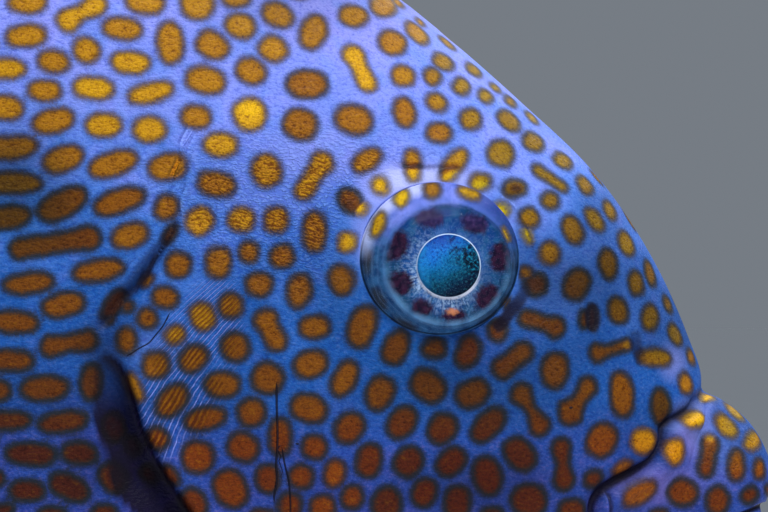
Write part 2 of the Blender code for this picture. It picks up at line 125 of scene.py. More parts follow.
BACK_LINE, BACK_LENGTHS = smooth_line(BACK_EDGE)
BELLY_LINE, BELLY_LENGTHS = smooth_line(BELLY_EDGE)
SECTION_LINE, _ = smooth_line(SECTION_ENDS)
WIDTH_LINE, _ = smooth_line(np.stack([WIDTH_AT, HALF_WIDTH], axis=1) * MM)


def at_share(line, lengths, share):
    """Points at shares of a line's length."""
    where = np.clip(share, 0, 1) * lengths[-1]
    return np.stack([np.interp(where, lengths, line[:, k]) for k in (0, 1)], axis=-1)


def section_ends(share):
    """The points of the back edge and of the belly edge that a section joins."""
    belly_share = np.interp(share, SECTION_LINE[:, 0], SECTION_LINE[:, 1])
    return at_share(BACK_LINE, BACK_LENGTHS, share), at_share(BELLY_LINE, BELLY_LENGTHS, belly_share)


def across(share, height):
    """Half width of the body at a height from -1, the belly edge, to 1, the back edge."""
    fullness = np.where(height > 0, BACK_FULLNESS, BELLY_FULLNESS)
    width = np.interp(share * BACK_LENGTHS[-1], WIDTH_LINE[:, 0], WIDTH_LINE[:, 1])
    return width * np.clip(1 - height**2, 0, 1) ** (fullness / 2)


def flank_y(x, z):
    """Half width of the body at a point of the side view, found by halving the share of its length."""
    low, high = 0.02, 1.0
    for _ in range(BISECTIONS):
        share = (low + high) / 2
        back, belly = section_ends(share)
        side = (back[0] - belly[0]) * (z - belly[1]) - (back[1] - belly[1]) * (x - belly[0])
        low, high = (low, share) if side < 0 else (share, high)
    height = 2 * (z - belly[1]) / (back[1] - belly[1]) - 1
    return float(across(share, np.array(height)))


def belly_z(x, y):
    """The height at which the underside has the half width y."""
    low, high = np.interp(x, BELLY_EDGE[::-1, 0], BELLY_EDGE[::-1, 1]), BODY_AXIS_Z
    for _ in range(BISECTIONS):
        middle = (low + high) / 2
        low, high = (middle, high) if flank_y(x, middle) < y else (low, middle)
    return middle


def to_pixels(points):
    """Where points of the right side lie in the photo."""
    near = CAMERA_DISTANCE / (CAMERA_DISTANCE + points[..., 1]) / PIXEL
    right = IMAGE_WIDTH / 2 + (points[..., 0] - VIEW_CENTRE[0]) * near
    down = IMAGE_HEIGHT / 2 - (points[..., 2] - VIEW_CENTRE[1]) * near
    return np.stack([right, down], axis=-1)


def smoothstep(value, low, high):
    t = np.clip((value - low) / (high - low), 0, 1)
    return t * t * (3 - 2 * t)


def bell(value):
    """1 at 0, falling smoothly to 0 at -1 and 1."""
    return np.clip(1 - value**2, 0, 1) ** 2


def ripple(points, wavelength, seed, waves=28):
    """A smooth random field of about unit size, made of plane waves of about one length."""
    draw = np.random.default_rng(seed)
    directions = draw.normal(size=(waves, 3))
    directions /= np.linalg.norm(directions, axis=1)[:, None]
    pace = 2 * np.pi / wavelength * draw.uniform(0.7, 1.4, waves)
    phase = draw.uniform(0, 2 * np.pi, waves)
    total = np.zeros(points.shape[:-1])
    for direction, speed, start in zip(directions, pace, phase):
        total += np.sin(points @ direction * speed + start)
    return total / math.sqrt(waves / 2)


def unit(vectors):
    return vectors / np.maximum(np.linalg.norm(vectors, axis=-1, keepdims=True), 1e-12)


# Folds and cracks of the head, in the photo's pixels

GILL_SLIT = [
    (181.5, 216), (177, 227), (170, 237), (158, 255), (146, 273), (134, 290), (119.5, 301), (108, 320),
    (100, 334),
]
GILL_SLIT_HALF_WIDTHS = [1.2, 2.6, 4.6, 6.8, 7.8, 8, 7, 6, 4]
GILL_SLIT_SHADES = [0.4, 0.7, 0.85, 0.93, 0.9, 0.8, 0.6, 0.5, 0.3]
COVER_EDGE = [
    (108, 352), (120.5, 362), (126.2, 371), (132.6, 387), (139, 406), (143.5, 423), (150.4, 440),
    (157.2, 454), (164.1, 466.6), (173.3, 482.7), (182.5, 496.4), (192.8, 512), (205, 530), (222, 552),
    (246, 580), (276, 614), (306, 655), (330, 700), (345, 735),
]
OPENING_EDGE = [
    (106, 350), (97, 358), (92, 380), (90.5, 403), (91.5, 417), (97.6, 438), (104.4, 455), (107, 466),
    (108, 480), (116, 497.6), (130, 512), (152, 545), (185, 590), (225, 640), (275, 695), (343, 737),
]
OPENING_DEPTH = 2.6 * MM
COVER_CRACK = [
    (171, 310.3), (166.4, 319.5), (161.8, 327.6), (155, 335.6), (149.2, 342.5), (138.9, 348.2),
    (132, 352.8), (124, 357),
]
LIP_GROOVE = [
    (700.5, 386), (697.5, 396.6), (692, 407), (682, 414), (670, 420.5), (663.4, 427), (661.6, 440.8),
    (657, 451), (650.8, 459.8), (635.7, 471), (614, 483), (604, 490), (595.3, 501), (592, 514), (596, 530),
]
LIP_GROOVE_HALF_WIDTHS = [5, 6, 7, 7, 6, 5, 4.5, 5.5, 8, 9, 9, 9, 7, 5, 2]
LIP_GROOVE_SHADES = [0.35, 0.55, 0.75, 0.85, 0.85, 0.88, 0.9, 0.92, 0.94, 0.95, 0.95, 0.95, 0.95, 0.9, 0.6]
MOUTH_CORNER_FOLD = [(607.9, 492), (608.2, 503), (607.5, 514)]
MOUTH_SLIT = [(766, 503), (741, 515), (711, 524), (680, 532), (640, 535), (608, 521)]
LOWER_LIP_FOLD = [(752, 541), (725, 549), (690, 557), (645, 560), (612, 547), (598, 530)]
BROW_GROOVE = [(376, 158.5), (385, 160), (400.3, 164.7), (413, 166), (429.8, 166.8), (452, 167), (464, 171)]
ORBIT_FOLD = [
    (470, 180), (488, 185), (508, 197), (521, 217.5), (529.5, 235.6), (533.6, 251), (535, 268), (531, 290),
]
EYE_FRONT_FOLD = [(494, 332), (501.4, 326), (512, 313), (521, 302), (527, 291), (531, 278)]
SHOULDER_WRINKLES = [
    [(192, 128), (189, 140), (184, 152), (181, 166), (175, 182), (167, 197)],
    [(203, 131), (197, 146), (191, 162), (188, 178), (186, 196)], [(355, 211), (366, 196), (382, 186)],
    [(356, 250), (351, 236), (353, 218)],
]

# Fine creases, drawn with painted light on the left of their course and painted shade on the right: how
# strong, and where
CREASES = [
    (0.9, [(190, 122), (186.5, 129), (182, 137), (179.5, 146), (181, 153)]),
    (0.6, [(199, 128), (193, 137), (188, 147), (187, 157)]),
    (1.0, [(178, 156), (175, 163), (171, 171), (168, 179)]),
    (0.9, [(186, 166), (181, 171), (176, 175), (170, 180)]), (0.5, [(179, 180), (174, 187), (170, 194)]),
    (0.8, [(187, 180), (185, 188), (181, 197), (180, 206), (182, 215), (179, 223)]),
    (0.5, [(131, 250), (123, 258), (119, 267), (113, 277)]),
    (0.5, [(140, 254), (132, 262), (126, 271), (121, 281)]),
    (0.4, [
        (383, 158.5), (391, 162), (400, 165.5), (413, 166.5), (424, 167), (438, 169.5), (452, 168),
        (464, 172),
    ]),
    (0.4, [(443, 160), (438, 155), (431.5, 154), (426, 156.5), (422, 160)]),
    (0.6, [(494, 194), (502, 198), (511, 204), (519, 214), (526, 225), (531, 236), (534, 248), (534, 262)]),
    (0.4, [(336.5, 335.6), (328, 337), (320.6, 341.7)]), (0.4, [(351.2, 349), (345, 350), (338.9, 352.7)]),
]
CREASE_REACH = 8.0
FRONT_CRACKS = [
    [
        (276.6, 378), (276.4, 393), (276.8, 414), (277.3, 428), (277.1, 447), (276.6, 456), (276, 465.6),
        (276.8, 474), (276.3, 485), (274.1, 496), (274.4, 506),
    ],
    [
        (281.2, 444.3), (282.6, 453), (284.8, 464.7), (288.4, 479.2), (289.9, 492.8), (290.4, 512),
        (290, 530),
    ],
]
FRONT_CRACK_WIDTHS = (1.4, 1.1)
SNOUT_FOLD = [(636, 330), (637, 342), (639, 354), (644, 366)]
PORES = [(570.0, 407.5), (297.0, 443.5)]
COVER_RIM = [
    (191, 205), (185, 232), (170, 262), (152, 290), (136, 318), (124, 346), (132, 372), (144, 402),
    (156, 434),
]

# Nostrils: middle, half width and half height in pixels, tilt in degrees, depth
NOSTRILS = [((592.4, 317.6), 7.6, 14.6, -4.0, 0.12 * MM)]

# Fine ridges that fan out behind the cheek
STRIAE_TOP = (170, 316)
STRIAE_SLOPE, STRIAE_SIDE_BEND, STRIAE_BEND = 1.03, 0.001, 0.0055
STRIAE_PLACE = (190, 368, 206, 92, 68)
STRIAE_PITCH = 5.6

# Troughs with painted shade in them: line, half width in pixels, depth in mm, how dark the painted shade is,
# how far beside the line, share that fades out
GROOVES = [
    (GILL_SLIT, GILL_SLIT_HALF_WIDTHS, 1.1, GILL_SLIT_SHADES),
    (GILL_SLIT, np.array(GILL_SLIT_HALF_WIDTHS) * 1.9, 0.2, 0.62, 4),
    (LIP_GROOVE, LIP_GROOVE_HALF_WIDTHS, 0.8, LIP_GROOVE_SHADES),
    (LIP_GROOVE, np.array(LIP_GROOVE_HALF_WIDTHS) * 2.2, 0.1, 0.34, 2),
    (MOUTH_CORNER_FOLD, 3.0, 0.4, 0.8),
    (MOUTH_SLIT, [4, 4.5, 4.5, 4, 3.5, 3], 1.6, 0.95, 0, 0.02),
    (LOWER_LIP_FOLD, 3.5, 0.45, 0.7),
    (BROW_GROOVE, 4, 0.2, [0, 0.1, 0.35, 0.62, 0.5, 0.4, 0.1]),
    (ORBIT_FOLD, 4.5, 0.30, 0.16),
    (EYE_FRONT_FOLD, [8, 9, 9, 9, 7, 4], 0.4, [0.88, 0.95, 0.94, 0.88, 0.6, 0.1]),
    (SNOUT_FOLD, 10, 0.25, [0.3, 0.7, 0.66, 0.3]),
]
# Ridges: line, half width in pixels, height in mm, how far beside the line
RISES = [
    (GILL_SLIT, 22, 0.35, -20), (COVER_RIM, 16, 0.12, 0), (LIP_GROOVE, 19, 0.40, -18),
    (LIP_GROOVE, 13, 0.50, -13), (MOUTH_SLIT, 13, 0.45, -12), (BROW_GROOVE, 12, 0.3, 11),
    (ORBIT_FOLD, 10, 0.32, -8), (COVER_CRACK, 12, 0.28, -10), (COVER_CRACK, 3.5, 0.12, -3.5),
    *((line, 6.5, 0.20, 0) for line in SHOULDER_WRINKLES),
    *((line, 6, -0.12, 6) for line in SHOULDER_WRINKLES),
]
# Soft round rises: middle, half width and half height in pixels, height in mm
SWELLS = [((330, 400), (150, 130), 0.5), ((520, 420), (120, 70), 0.35), ((215, 150), (70, 60), 0.3)]

# How strongly the skin is wrinkled, and where more than that
PLAIN_WRINKLE, MORE_WRINKLE = 0.28, 0.80
WRINKLED_PLACE = ((300, 205), (190, 110))
FAR_MM, FAR_PIXELS = 9.0, 1e3


def line_places(pixels, line, margin):
    """Signed distance to a smooth line, positive right of its course, and the place along it, 0 to 1."""
    fine, lengths = smooth_line(line, steps=5)
    beside = np.full(len(pixels), FAR_PIXELS)
    place = np.zeros(len(pixels))
    low, high = fine.min(axis=0) - margin, fine.max(axis=0) + margin
    near = np.flatnonzero(np.all((pixels > low) & (pixels < high), axis=1))
    if len(near) == 0:
        return beside, place
    spot = pixels[near]
    best = np.full(len(near), np.inf)
    for start, end, walked, total in zip(fine[:-1], fine[1:], lengths[:-1], np.diff(lengths)):
        along = (end - start) / total
        share = np.clip((spot - start) @ along / total, 0, 1)
        gap = spot - start - share[:, None] * (end - start)
        far = np.linalg.norm(gap, axis=1)
        side = np.sign(along[0] * (spot[:, 1] - start[1]) - along[1] * (spot[:, 0] - start[0]))
        closer = far < best
        best = np.where(closer, far, best)
        beside[near[closer]] = (far * np.where(side == 0, 1, side))[closer]
        place[near[closer]] = (walked + share * total)[closer] / lengths[-1]
    return beside, place


def inside(pixels, outline):
    """True for the pixels within a closed outline."""
    outline = np.asarray(outline, float)
    found = np.zeros(len(pixels), bool)
    x, y = pixels[:, 0], pixels[:, 1]
    for (x0, y0), (x1, y1) in zip(outline, np.roll(outline, -1, axis=0)):
        if y0 == y1:
            continue
        crosses = (y0 > y) != (y1 > y)
        found ^= crosses & (x < (x1 - x0) * (y - y0) / (y1 - y0) + x0)
    return found


def end_fade(place, reach, start=-1e-3):
    """0 at both ends of a line, and 1 from the given share of it inwards."""
    return smoothstep(np.minimum(place, 1 - place), start, reach)


def along_line(place, values):
    """Values given at even steps of a line, for places along it."""
    return np.interp(place, np.linspace(0, 1, len(values)), values)


def round_place(pixels, middle, radii):
    """1 in the middle of an oval, falling smoothly to 0 at its edge."""
    return bell(np.minimum(np.hypot(*((pixels - np.array(middle)) / radii).T), 1))


class Relief:
    """How the skin of one side rises and sinks, and where it is shaded, cracked or wrinkled."""

    def __init__(self, points):
        self.pixels = to_pixels(points)
        count = len(points)
        self.push = np.zeros(count)
        self.shade = np.zeros(count)
        self.crack = np.full(count, FAR_MM)
        self.crack_width = np.zeros(count)
        self.crease = np.full(count, FAR_MM)
        self.creased = np.zeros(count)
        self.gill = np.zeros(count)
        self.wrinkle = np.full(count, PLAIN_WRINKLE)

    def groove(self, line, half_widths, depth, shade, offset=0.0, fade=0.08):
        """A rounded trough along a line, with painted shade in its depth."""
        widths, shades = (np.broadcast_to(given, len(line)).astype(float) for given in (half_widths, shade))
        beside, place = line_places(self.pixels, line, widths.max() + abs(offset) + 1)
        width = along_line(place, widths)
        trough = bell((beside - offset) / np.maximum(width, 0.1)) * end_fade(place, fade)
        self.push -= depth * np.clip(width * PIXEL / depth, 0, 1) * trough
        self.shade = np.maximum(self.shade, along_line(place, shades) * smoothstep(trough, 0.06, 0.85))

    def rise(self, line, half_width, height, offset=0.0):
        """A rounded ridge beside a line."""
        beside, place = line_places(self.pixels, line, half_width + abs(offset) + 1)
        self.push += height * bell((beside - offset) / half_width) * end_fade(place, 0.12)

    def keep_nearest(self, kept, line, reach):
        """Keeps the distance in mm of the points that lie nearer to this line than to those before it."""
        beside, place = line_places(self.pixels, line, reach + 1)
        mine = (np.abs(beside) < reach) & (np.abs(beside) * PIXEL / MM < np.abs(kept))
        kept[mine] = beside[mine] * PIXEL / MM
        return beside, place, mine

    def crack_along(self, line, half_width, band=9.0):
        """A thin crack. Its signed distance and its width are kept for the material, which draws it dark as
        painted shade.
        """
        beside, place, mine = self.keep_nearest(self.crack, line, band)
        across = smoothstep(np.abs(beside), band, band * 0.6)
        width = half_width * PIXEL / MM * end_fade(place, 0.1) * across
        self.crack_width[mine] = width[mine]

    def crease_along(self, strength, line):
        """A fine crease. Its signed distance is kept for the material, which draws it with painted light on
        one side and painted shade on the other.
        """
        beside, place, mine = self.keep_nearest(self.crease, line, CREASE_REACH)
        across = smoothstep(np.abs(beside), CREASE_REACH, CREASE_REACH * 0.7)
        drawn = strength * end_fade(place, 0.25) * across
        self.creased[mine] = drawn[mine]

    def pit(self, centre, half_width, half_height, tilt, depth):
        """An oval hole with a slightly raised rim, and painted shade within it."""
        offset = self.pixels - centre
        lean = math.radians(tilt)
        right = offset[:, 0] * math.cos(lean) + offset[:, 1] * math.sin(lean)
        down = -offset[:, 0] * math.sin(lean) + offset[:, 1] * math.cos(lean)
        away = np.hypot(right / half_width, down / half_height)
        self.push -= depth * (1 - smoothstep(away, 0.75, 1.05))
        self.push += 0.12 * depth * bell((away - 1.3) / 0.4)
        self.shade = np.maximum(self.shade, 0.76 * (1 - smoothstep(away, 0.85, 1.16)))


def gill_opening(relief):
    """The gap behind the gill cover: steep under the cover's edge, rising gently to the shoulder, with the
    painted shadow that the cover casts into it.
    """
    fine_cover, _ = smooth_line(COVER_EDGE, steps=6)
    fine_rear, _ = smooth_line(OPENING_EDGE, steps=6)
    within = inside(relief.pixels, np.vstack([fine_cover, fine_rear[::-1]]))
    margin = 90
    behind_cover, place = line_places(relief.pixels, COVER_EDGE, margin)
    behind_rear, _ = line_places(relief.pixels, OPENING_EDGE, margin)
    from_cover, from_rear = np.abs(behind_cover), np.abs(behind_rear)
    across_share = from_cover / np.maximum(from_cover + from_rear, 1e-6)
    depth = np.minimum(OPENING_DEPTH, 0.3 * (from_cover + from_rear) * PIXEL)
    floor = depth * (1 - smoothstep(across_share, 0.1, 1.0)) * smoothstep(from_cover, 0, 5)
    relief.push -= np.where(within, floor, 0)
    # Painted shadow that the gill cover casts into the opening, kept as the gill field
    shade = smoothstep(behind_cover, -2.0, 3.2) * smoothstep(-behind_rear, -1.5, 4.5)
    shade *= from_cover < margin
    down = relief.pixels[:, 1]
    shade *= 1 - 0.6 * smoothstep(from_cover, 4, 18) * smoothstep(down, 420, 360)
    relief.gill = shade * smoothstep(down, 334, 364)
    rim = np.where(within, 0, bell(np.minimum(from_cover / 34, 1)))
    relief.push += 0.55 * MM * rim * end_fade(place, 0.1, 0)


def head_relief(points):
    """All the forms of one side of the head."""
    relief = Relief(points)
    gill_opening(relief)
    for line, half_widths, depth, shade, *more in GROOVES:
        relief.groove(line, half_widths, depth * MM, shade, *more)
    for line, half_width, height, offset in RISES:
        relief.rise(line, half_width, height * MM, offset)
    for nostril in NOSTRILS:
        relief.pit(*nostril)
    for middle, radii, height in SWELLS:
        relief.push += height * MM * round_place(relief.pixels, middle, radii)
    for strength, line in CREASES:
        relief.crease_along(strength, line)
    for line, width in zip(FRONT_CRACKS, FRONT_CRACK_WIDTHS):
        relief.crack_along(line, width, band=6)
    relief.crack_along(COVER_CRACK, 0.85)
    for x, y in PORES:
        relief.crack_along([(x - 1.2, y), (x, y), (x + 1.2, y)], 1.6, band=5)
    wrinkled = round_place(relief.pixels, *WRINKLED_PLACE)
    from_eye = np.hypot(*((relief.pixels - EYE_PIXEL) / EYE_HALF_SIZE).T)
    relief.wrinkle += MORE_WRINKLE * wrinkled * smoothstep(from_eye, 1.15, 1.6)
    relief.wrinkle *= 1 - 0.7 * smoothstep(from_eye, 1.35, 1.1)
    return relief


# The eye's socket: its middle and half size in pixels, the ring of skin that it faces along with, its depth
# and wall, the rim, how near to it the skin's points are drawn onto it, and how far out the skin is level
EYE_PIXEL = (439.4, 258.8)
EYE_HALF_SIZE = (79.8, 76.6)
EYE_RING = (60, 100)
SOCKET_DEPTH = 4.0 * MM
SOCKET_WALL = (0.75 * MM, 0.12 * MM)
RIM_HEIGHT, RIM_HALF_WIDTH = 0.06 * MM, 1.6 * MM
SNAP_REACH = 1.3 * MM
ORBIT_SHARE = 1.75


def body_grid():
    """Points of the right side, row by row from the mouth to the tail and from the back to the belly."""
    head = HEAD_SHARE * np.linspace(0, 1, HEAD_ROWS, endpoint=False) ** HEAD_ROW_SPREAD
    trunk = np.linspace(HEAD_SHARE, 1, TRUNK_ROWS)
    shares = np.concatenate([head, trunk])
    heights = column_heights(HALF_COLUMNS)
    back, belly = section_ends(shares)
    mix = (heights[None, :, None] + 1) / 2
    flank = belly[:, None] + (back - belly)[:, None] * mix
    width = across(shares[:, None], heights[None, :])
    width[:, [0, -1]] = 0
    points = np.stack([flank[..., 0], -width, flank[..., 1]], axis=-1)
    return np.concatenate([points, tail_closing(points[-1])])


def column_heights(count):
    """Heights from 1, the back, to -1, the belly, evenly spaced round a middling section."""
    height = np.cos(np.linspace(0, np.pi, 4001))
    fullness = np.where(height > 0, BACK_FULLNESS, BELLY_FULLNESS)
    width = TYPICAL_RATIO * np.clip(1 - height**2, 0, 1) ** (fullness / 2)
    walked = np.concatenate([[0], np.cumsum(np.hypot(np.diff(height), np.diff(width)))])
    return np.interp(np.linspace(0, walked[-1], count + 1), walked, height)


def tail_closing(last):
    """Rows that round the end of the body off over the root of the tail fin."""
    rows = []
    for share in np.linspace(0, 1, TAIL_CLOSING_ROWS + 1)[1:]:
        row = last.copy()
        crown = 1 + 0.25 * np.cos(np.pi * np.linspace(-1, 1, len(last)))
        row[:, 0] -= TAIL_CLOSING_LENGTH * share * crown
        row[:, 1] *= math.sqrt(max(1 - share**2, 0))
        row[:, 2] = BODY_AXIS_Z + (row[:, 2] - BODY_AXIS_Z) * (1 - 0.12 * share**2)
        rows.append(row)
    return np.array(rows)


def grid_normals(points):
    """Outward normals of the right side's grid."""
    normals = np.cross(np.gradient(points, axis=1), np.gradient(points, axis=0))
    flat = np.linalg.norm(normals, axis=-1) < 1e-16
    normals[flat] = (0, -1, 0)
    normals[:, [0, -1], 1] = 0
    normals = unit(normals)
    middle = points.reshape(-1, 3)[:, 1].min() / 2
    facing = np.sum(normals * np.array([0, -1, 0]), axis=-1)[points[..., 1] < middle].mean()
    return normals * np.sign(facing)


def eye_frame(points, normals):
    """The middle of the eye on the right flank, with its own right, up and outward directions."""
    points, normals = points.reshape(-1, 3), normals.reshape(-1, 3)
    pixels = to_pixels(points)
    away = np.linalg.norm(pixels - EYE_PIXEL, axis=1)
    around = (away > EYE_RING[0]) & (away < EYE_RING[1]) & (points[:, 1] < 0)
    outward = unit(normals[around].mean(axis=0))
    right = unit(np.array([1.0, 0, 0]) - outward * outward[0])
    up = np.cross(outward, right)
    up = up * np.sign(up[2])
    middle = eye_point((points[around].mean(axis=0), right, up, outward), *EYE_PIXEL, 0.0)
    return middle, right, up, outward


def eye_point(eye, right_pixel, down_pixel, height):
    """The points at given heights over the eye's rim that show at given pixels."""
    middle, right, up, outward = eye
    base = middle + np.asarray(height)[..., None] * outward
    point = base
    to_side = np.linalg.inv(np.array([[right[0], up[0]], [right[2], up[2]]]))
    for _ in range(4):
        near = (CAMERA_DISTANCE + point[..., 1]) / CAMERA_DISTANCE * PIXEL
        x = VIEW_CENTRE[0] + (right_pixel - IMAGE_WIDTH / 2) * near
        z = VIEW_CENTRE[1] - (down_pixel - IMAGE_HEIGHT / 2) * near
        share = np.stack([x - base[..., 0], z - base[..., 2]], axis=-1) @ to_side.T
        point = base + share[..., :1] * right + share[..., 1:] * up
    return point


def seat_eye(points, eye):
    """Turns the skin in to a round socket, level with the eye's rim."""
    middle, right, up, outward = eye
    half_width, half_height = EYE_HALF_SIZE
    beside = eye_point(eye, EYE_PIXEL[0] + half_width, EYE_PIXEL[1], 0.0) - middle
    above = eye_point(eye, EYE_PIXEL[0], EYE_PIXEL[1] - half_height, 0.0) - middle
    radii = np.array([np.linalg.norm(beside), np.linalg.norm(above)])
    size = radii.mean()
    offset = points - middle
    a, b, h = offset @ right, offset @ up, offset @ outward
    reach = np.hypot(a / radii[0], b / radii[1])
    near = (reach < ORBIT_SHARE) & (points[..., 1] < 0)
    level = 1 - smoothstep(reach, 1.0, ORBIT_SHARE)
    gap = (reach - 1) * size
    pull = np.clip(np.abs(gap) / SNAP_REACH, 0, 1) ** 0.9
    snapped = size + gap * pull
    rim = RIM_HEIGHT * bell(np.clip((snapped - size) / RIM_HALF_WIDTH, -1, 1))
    sink = SOCKET_DEPTH * (1 - smoothstep(snapped, size - SOCKET_WALL[0], size - SOCKET_WALL[1]))
    new_h = h * (1 - level) + rim - sink
    scale = np.where(reach > 1e-6, snapped / np.maximum(reach * size, 1e-9), 1)
    a, b, new_h = ((a * scale)[..., None], (b * scale)[..., None], new_h[..., None])
    return np.where(near[..., None], middle + a * right + b * up + new_h * outward, points)


# Spots of the right side in the photo's pixels: middle, length, width, tilt in degrees and, where it stands
# out, how bright it is, from 0, reddish brown, to 1, bright yellow

BACK_SPOTS = [
    (27.5, 2.5, 38, 23, 0), (144.5, 2, 40, 24, -10), (197.5, 3.5, 34, 33, 0), (26.3, 35.8, 40, 22.6, 5),
    (122.4, 28.8, 39, 22.6, -8), (86.3, 50.8, 27, 24.5, -30), (53.9, 61.6, 32, 22.6, -8),
    (130.4, 62.7, 39.5, 22.6, -6, 0.86), (170.2, 42.9, 43, 26, -84), (4.5, 68.8, 42, 21.5, 0, 0.84),
    (44.9, 90.9, 33.5, 21.5, -2), (93.1, 88.4, 40, 23, -5, 0.88), (150.6, 92.7, 47, 20, 14, 0.84),
    (205.5, 80.2, 40, 27, -10), (5.5, 107.5, 36, 25, -12), (53.3, 121.5, 42, 25, 14),
    (103.5, 125.2, 36, 24, 4, 0.84), (149.5, 129.2, 33.5, 26, 0, 0.84), (196, 117, 30, 24, -8),
    (236, -2, 28, 20, 0), (240, 26.3, 30, 24.5, -15), (277.5, 15, 32, 24.5, -25),
    (212.6, 45.3, 34, 27, -32), (273, 49.3, 29, 25, -35), (313.2, 32.4, 36, 26, 72),
    (353.9, 15.7, 29, 22, -8), (384.5, 3, 27, 24, -40), (251, 71.3, 31, 25, -30),
    (306.9, 84.7, 41, 28, 0, 0.50), (249.5, 114.5, 34, 33, -60, 0.9), (300.5, 124.3, 34.5, 30.5, -20, 0.54),
    (353.7, 119.8, 38, 29, -15), (393, 42, 29, 25, -28), (298.5, -8, 20, 14, 0),
]
FOREHEAD_SPOTS = [
    (417.7, 32, 29, 14, -45), (421.3, 20.8, 11, 6, -50), (447.7, 42.5, 20, 7, -42), (399, 1, 14, 8, -45),
    (443.6, 61, 22.5, 15, -35), (474, 69.2, 19, 9.5, -38), (403.2, 75.5, 23.5, 20.5, -10),
    (433, 76.2, 18.5, 16.5, -60), (461.6, 86, 18, 16.5, -40), (485.3, 96, 16, 12.5, -45),
    (495.4, 87.2, 12, 6.5, -42), (510.7, 101, 14, 8.5, -42), (436.9, 101.9, 22, 18, -35),
    (404.6, 111.8, 30, 22, -72), (471.2, 118.8, 21.5, 21, 0), (508.9, 120.6, 26, 16.5, -42),
    (531.8, 117.5, 16, 8.5, -48), (439.3, 132.9, 25, 20, -5), (500.6, 153.7, 28, 27.5, 90),
    (533.4, 142.1, 23, 17.5, -30),
]
SHOULDER_SPOTS = [
    (10.5, 147.9, 54, 24, 4), (62.7, 159.2, 42, 26, 20), (113.6, 163.9, 50, 24.5, 18),
    (167.5, 167, 39, 27, 8), (11, 183, 62, 22, -2), (62.2, 204.2, 53, 27, 27), (119.7, 201.2, 53, 24, 17),
    (166.3, 207.6, 26, 23, 60), (4.5, 217.4, 54, 24, 5), (130.4, 235.4, 38, 24.5, 18),
    (170.5, 233.5, 21, 10, 62, 0.3), (199.8, 221, 28, 29, -45, 0.78), (178.3, 265, 27, 26, 0),
    (29.1, 283.2, 51, 21.5, 6), (98.3, 270.4, 52.5, 22, 10), (63.1, 305, 43.5, 24, 12),
    (14.7, 322.4, 48, 22.5, -5), (165.3, 297.6, 27, 22, -5), (147.5, 280.5, 15, 9, 55),
    (113.9, 304.4, 34, 17, 55, 0.15), (127.3, 306.2, 13, 12, 0, 0.2), (147.3, 318.4, 22, 19.5, -40),
    (111, 320.5, 9, 6, 60, 0.3), (126.5, 340.5, 27, 20, 88), (175.1, 334.4, 21.5, 18, 35, 0.7),
    (155.8, 364.7, 27.5, 27, 0), (10.4, 360.5, 49, 22, -3), (44.7, 388.5, 49, 26, 3),
    (91, 382, 36, 22, 88, 0.1), (134.5, 387, 31, 14, -65, 0.65), (202.5, 316.5, 29, 26, -60, 0.7),
    (193.5, 358.5, 31, 25, 40),
]
CHEEK_SPOTS = [
    (220.2, 145.1, 35, 24, -5, 0.85), (215.9, 184.3, 38, 25, -12), (266.3, 170.6, 34, 30.5, -75),
    (367.1, 160, 32, 21, 32), (241.3, 219.6, 27.5, 25, 0, 0.78), (276.2, 219.6, 26.5, 26, 90),
    (314.4, 231.5, 41, 23.5, 88, 0.54), (350.6, 200.9, 27, 22, -50, 0.30), (360, 207.5, 15, 10, 52, 1.0),
    (345.3, 242.1, 21, 16, 78, 0.85), (218.6, 262, 31, 26, 85), (248.9, 252.2, 22, 20.5, 90),
    (281.7, 256.6, 24.5, 23.5, 20), (230.6, 305.6, 25, 24.5, 0), (259.3, 284.4, 27, 24, 0),
    (299.1, 290.9, 35, 24, 78), (340, 280.3, 30, 23, -78), (314.4, 326.8, 30, 23, 5),
    (360.7, 327.4, 41, 27, 75), (234.9, 346.9, 29.5, 28, -60), (310.5, 364.1, 35, 27, 20),
    (222, 384.5, 35, 26, 0), (267.5, 378, 32, 31, -20), (344, 378.5, 38, 24, 62), (379.5, 393, 35, 28, 65),
    (394.5, 348.5, 33, 25, 65), (251.4, 412.4, 28.5, 28, 0), (242.6, 447, 32, 29, -30),
    (279.9, 436.6, 38, 23, 90), (308.3, 408.1, 38, 28, -18), (348.7, 427.5, 33.5, 28, 55),
    (314.4, 446.8, 25, 24.5, 0), (368.7, 459.9, 34.5, 26, 75), (267.7, 478.3, 30, 24, 85),
    (301, 476.5, 25, 24, 0), (334.4, 473, 28, 22, 75), (230.9, 489, 40, 33, -60), (290, 505, 27, 24, 80),
    (322.3, 507, 26, 25, 0), (351.8, 496.9, 25, 22, 75), (386.5, 505, 38, 30, 90), (262, 516, 24, 14, 0),
]
FLANK_SPOTS = [
    (-6, 391, 34, 22, 0), (8, 420.5, 48, 19, 2), (62.7, 422, 49.5, 22, 8), (30.9, 454.4, 51, 24.5, -4),
    (79.3, 453.5, 37.5, 24, -8), (68.8, 487.1, 43.5, 26, -25), (27.2, 490.9, 37, 22, -2),
    (-5, 479, 20, 16, 0), (3, 510, 22, 14, 0), (52, 515, 30, 18, 0), (104, 513, 26, 18, 0),
    (113, 478, 32, 26, -60), (172, 400.5, 39, 26, 45), (157.5, 438, 24, 22, -50), (170.5, 475, 24, 14, -55),
    (205, 418.5, 42, 23, 12), (198, 457, 33, 33, 0), (194, 503, 33, 25, -60), (114, 428, 30, 22, -70),
    (133, 447, 20, 14, -60), (150, 476, 20, 14, -50),
]
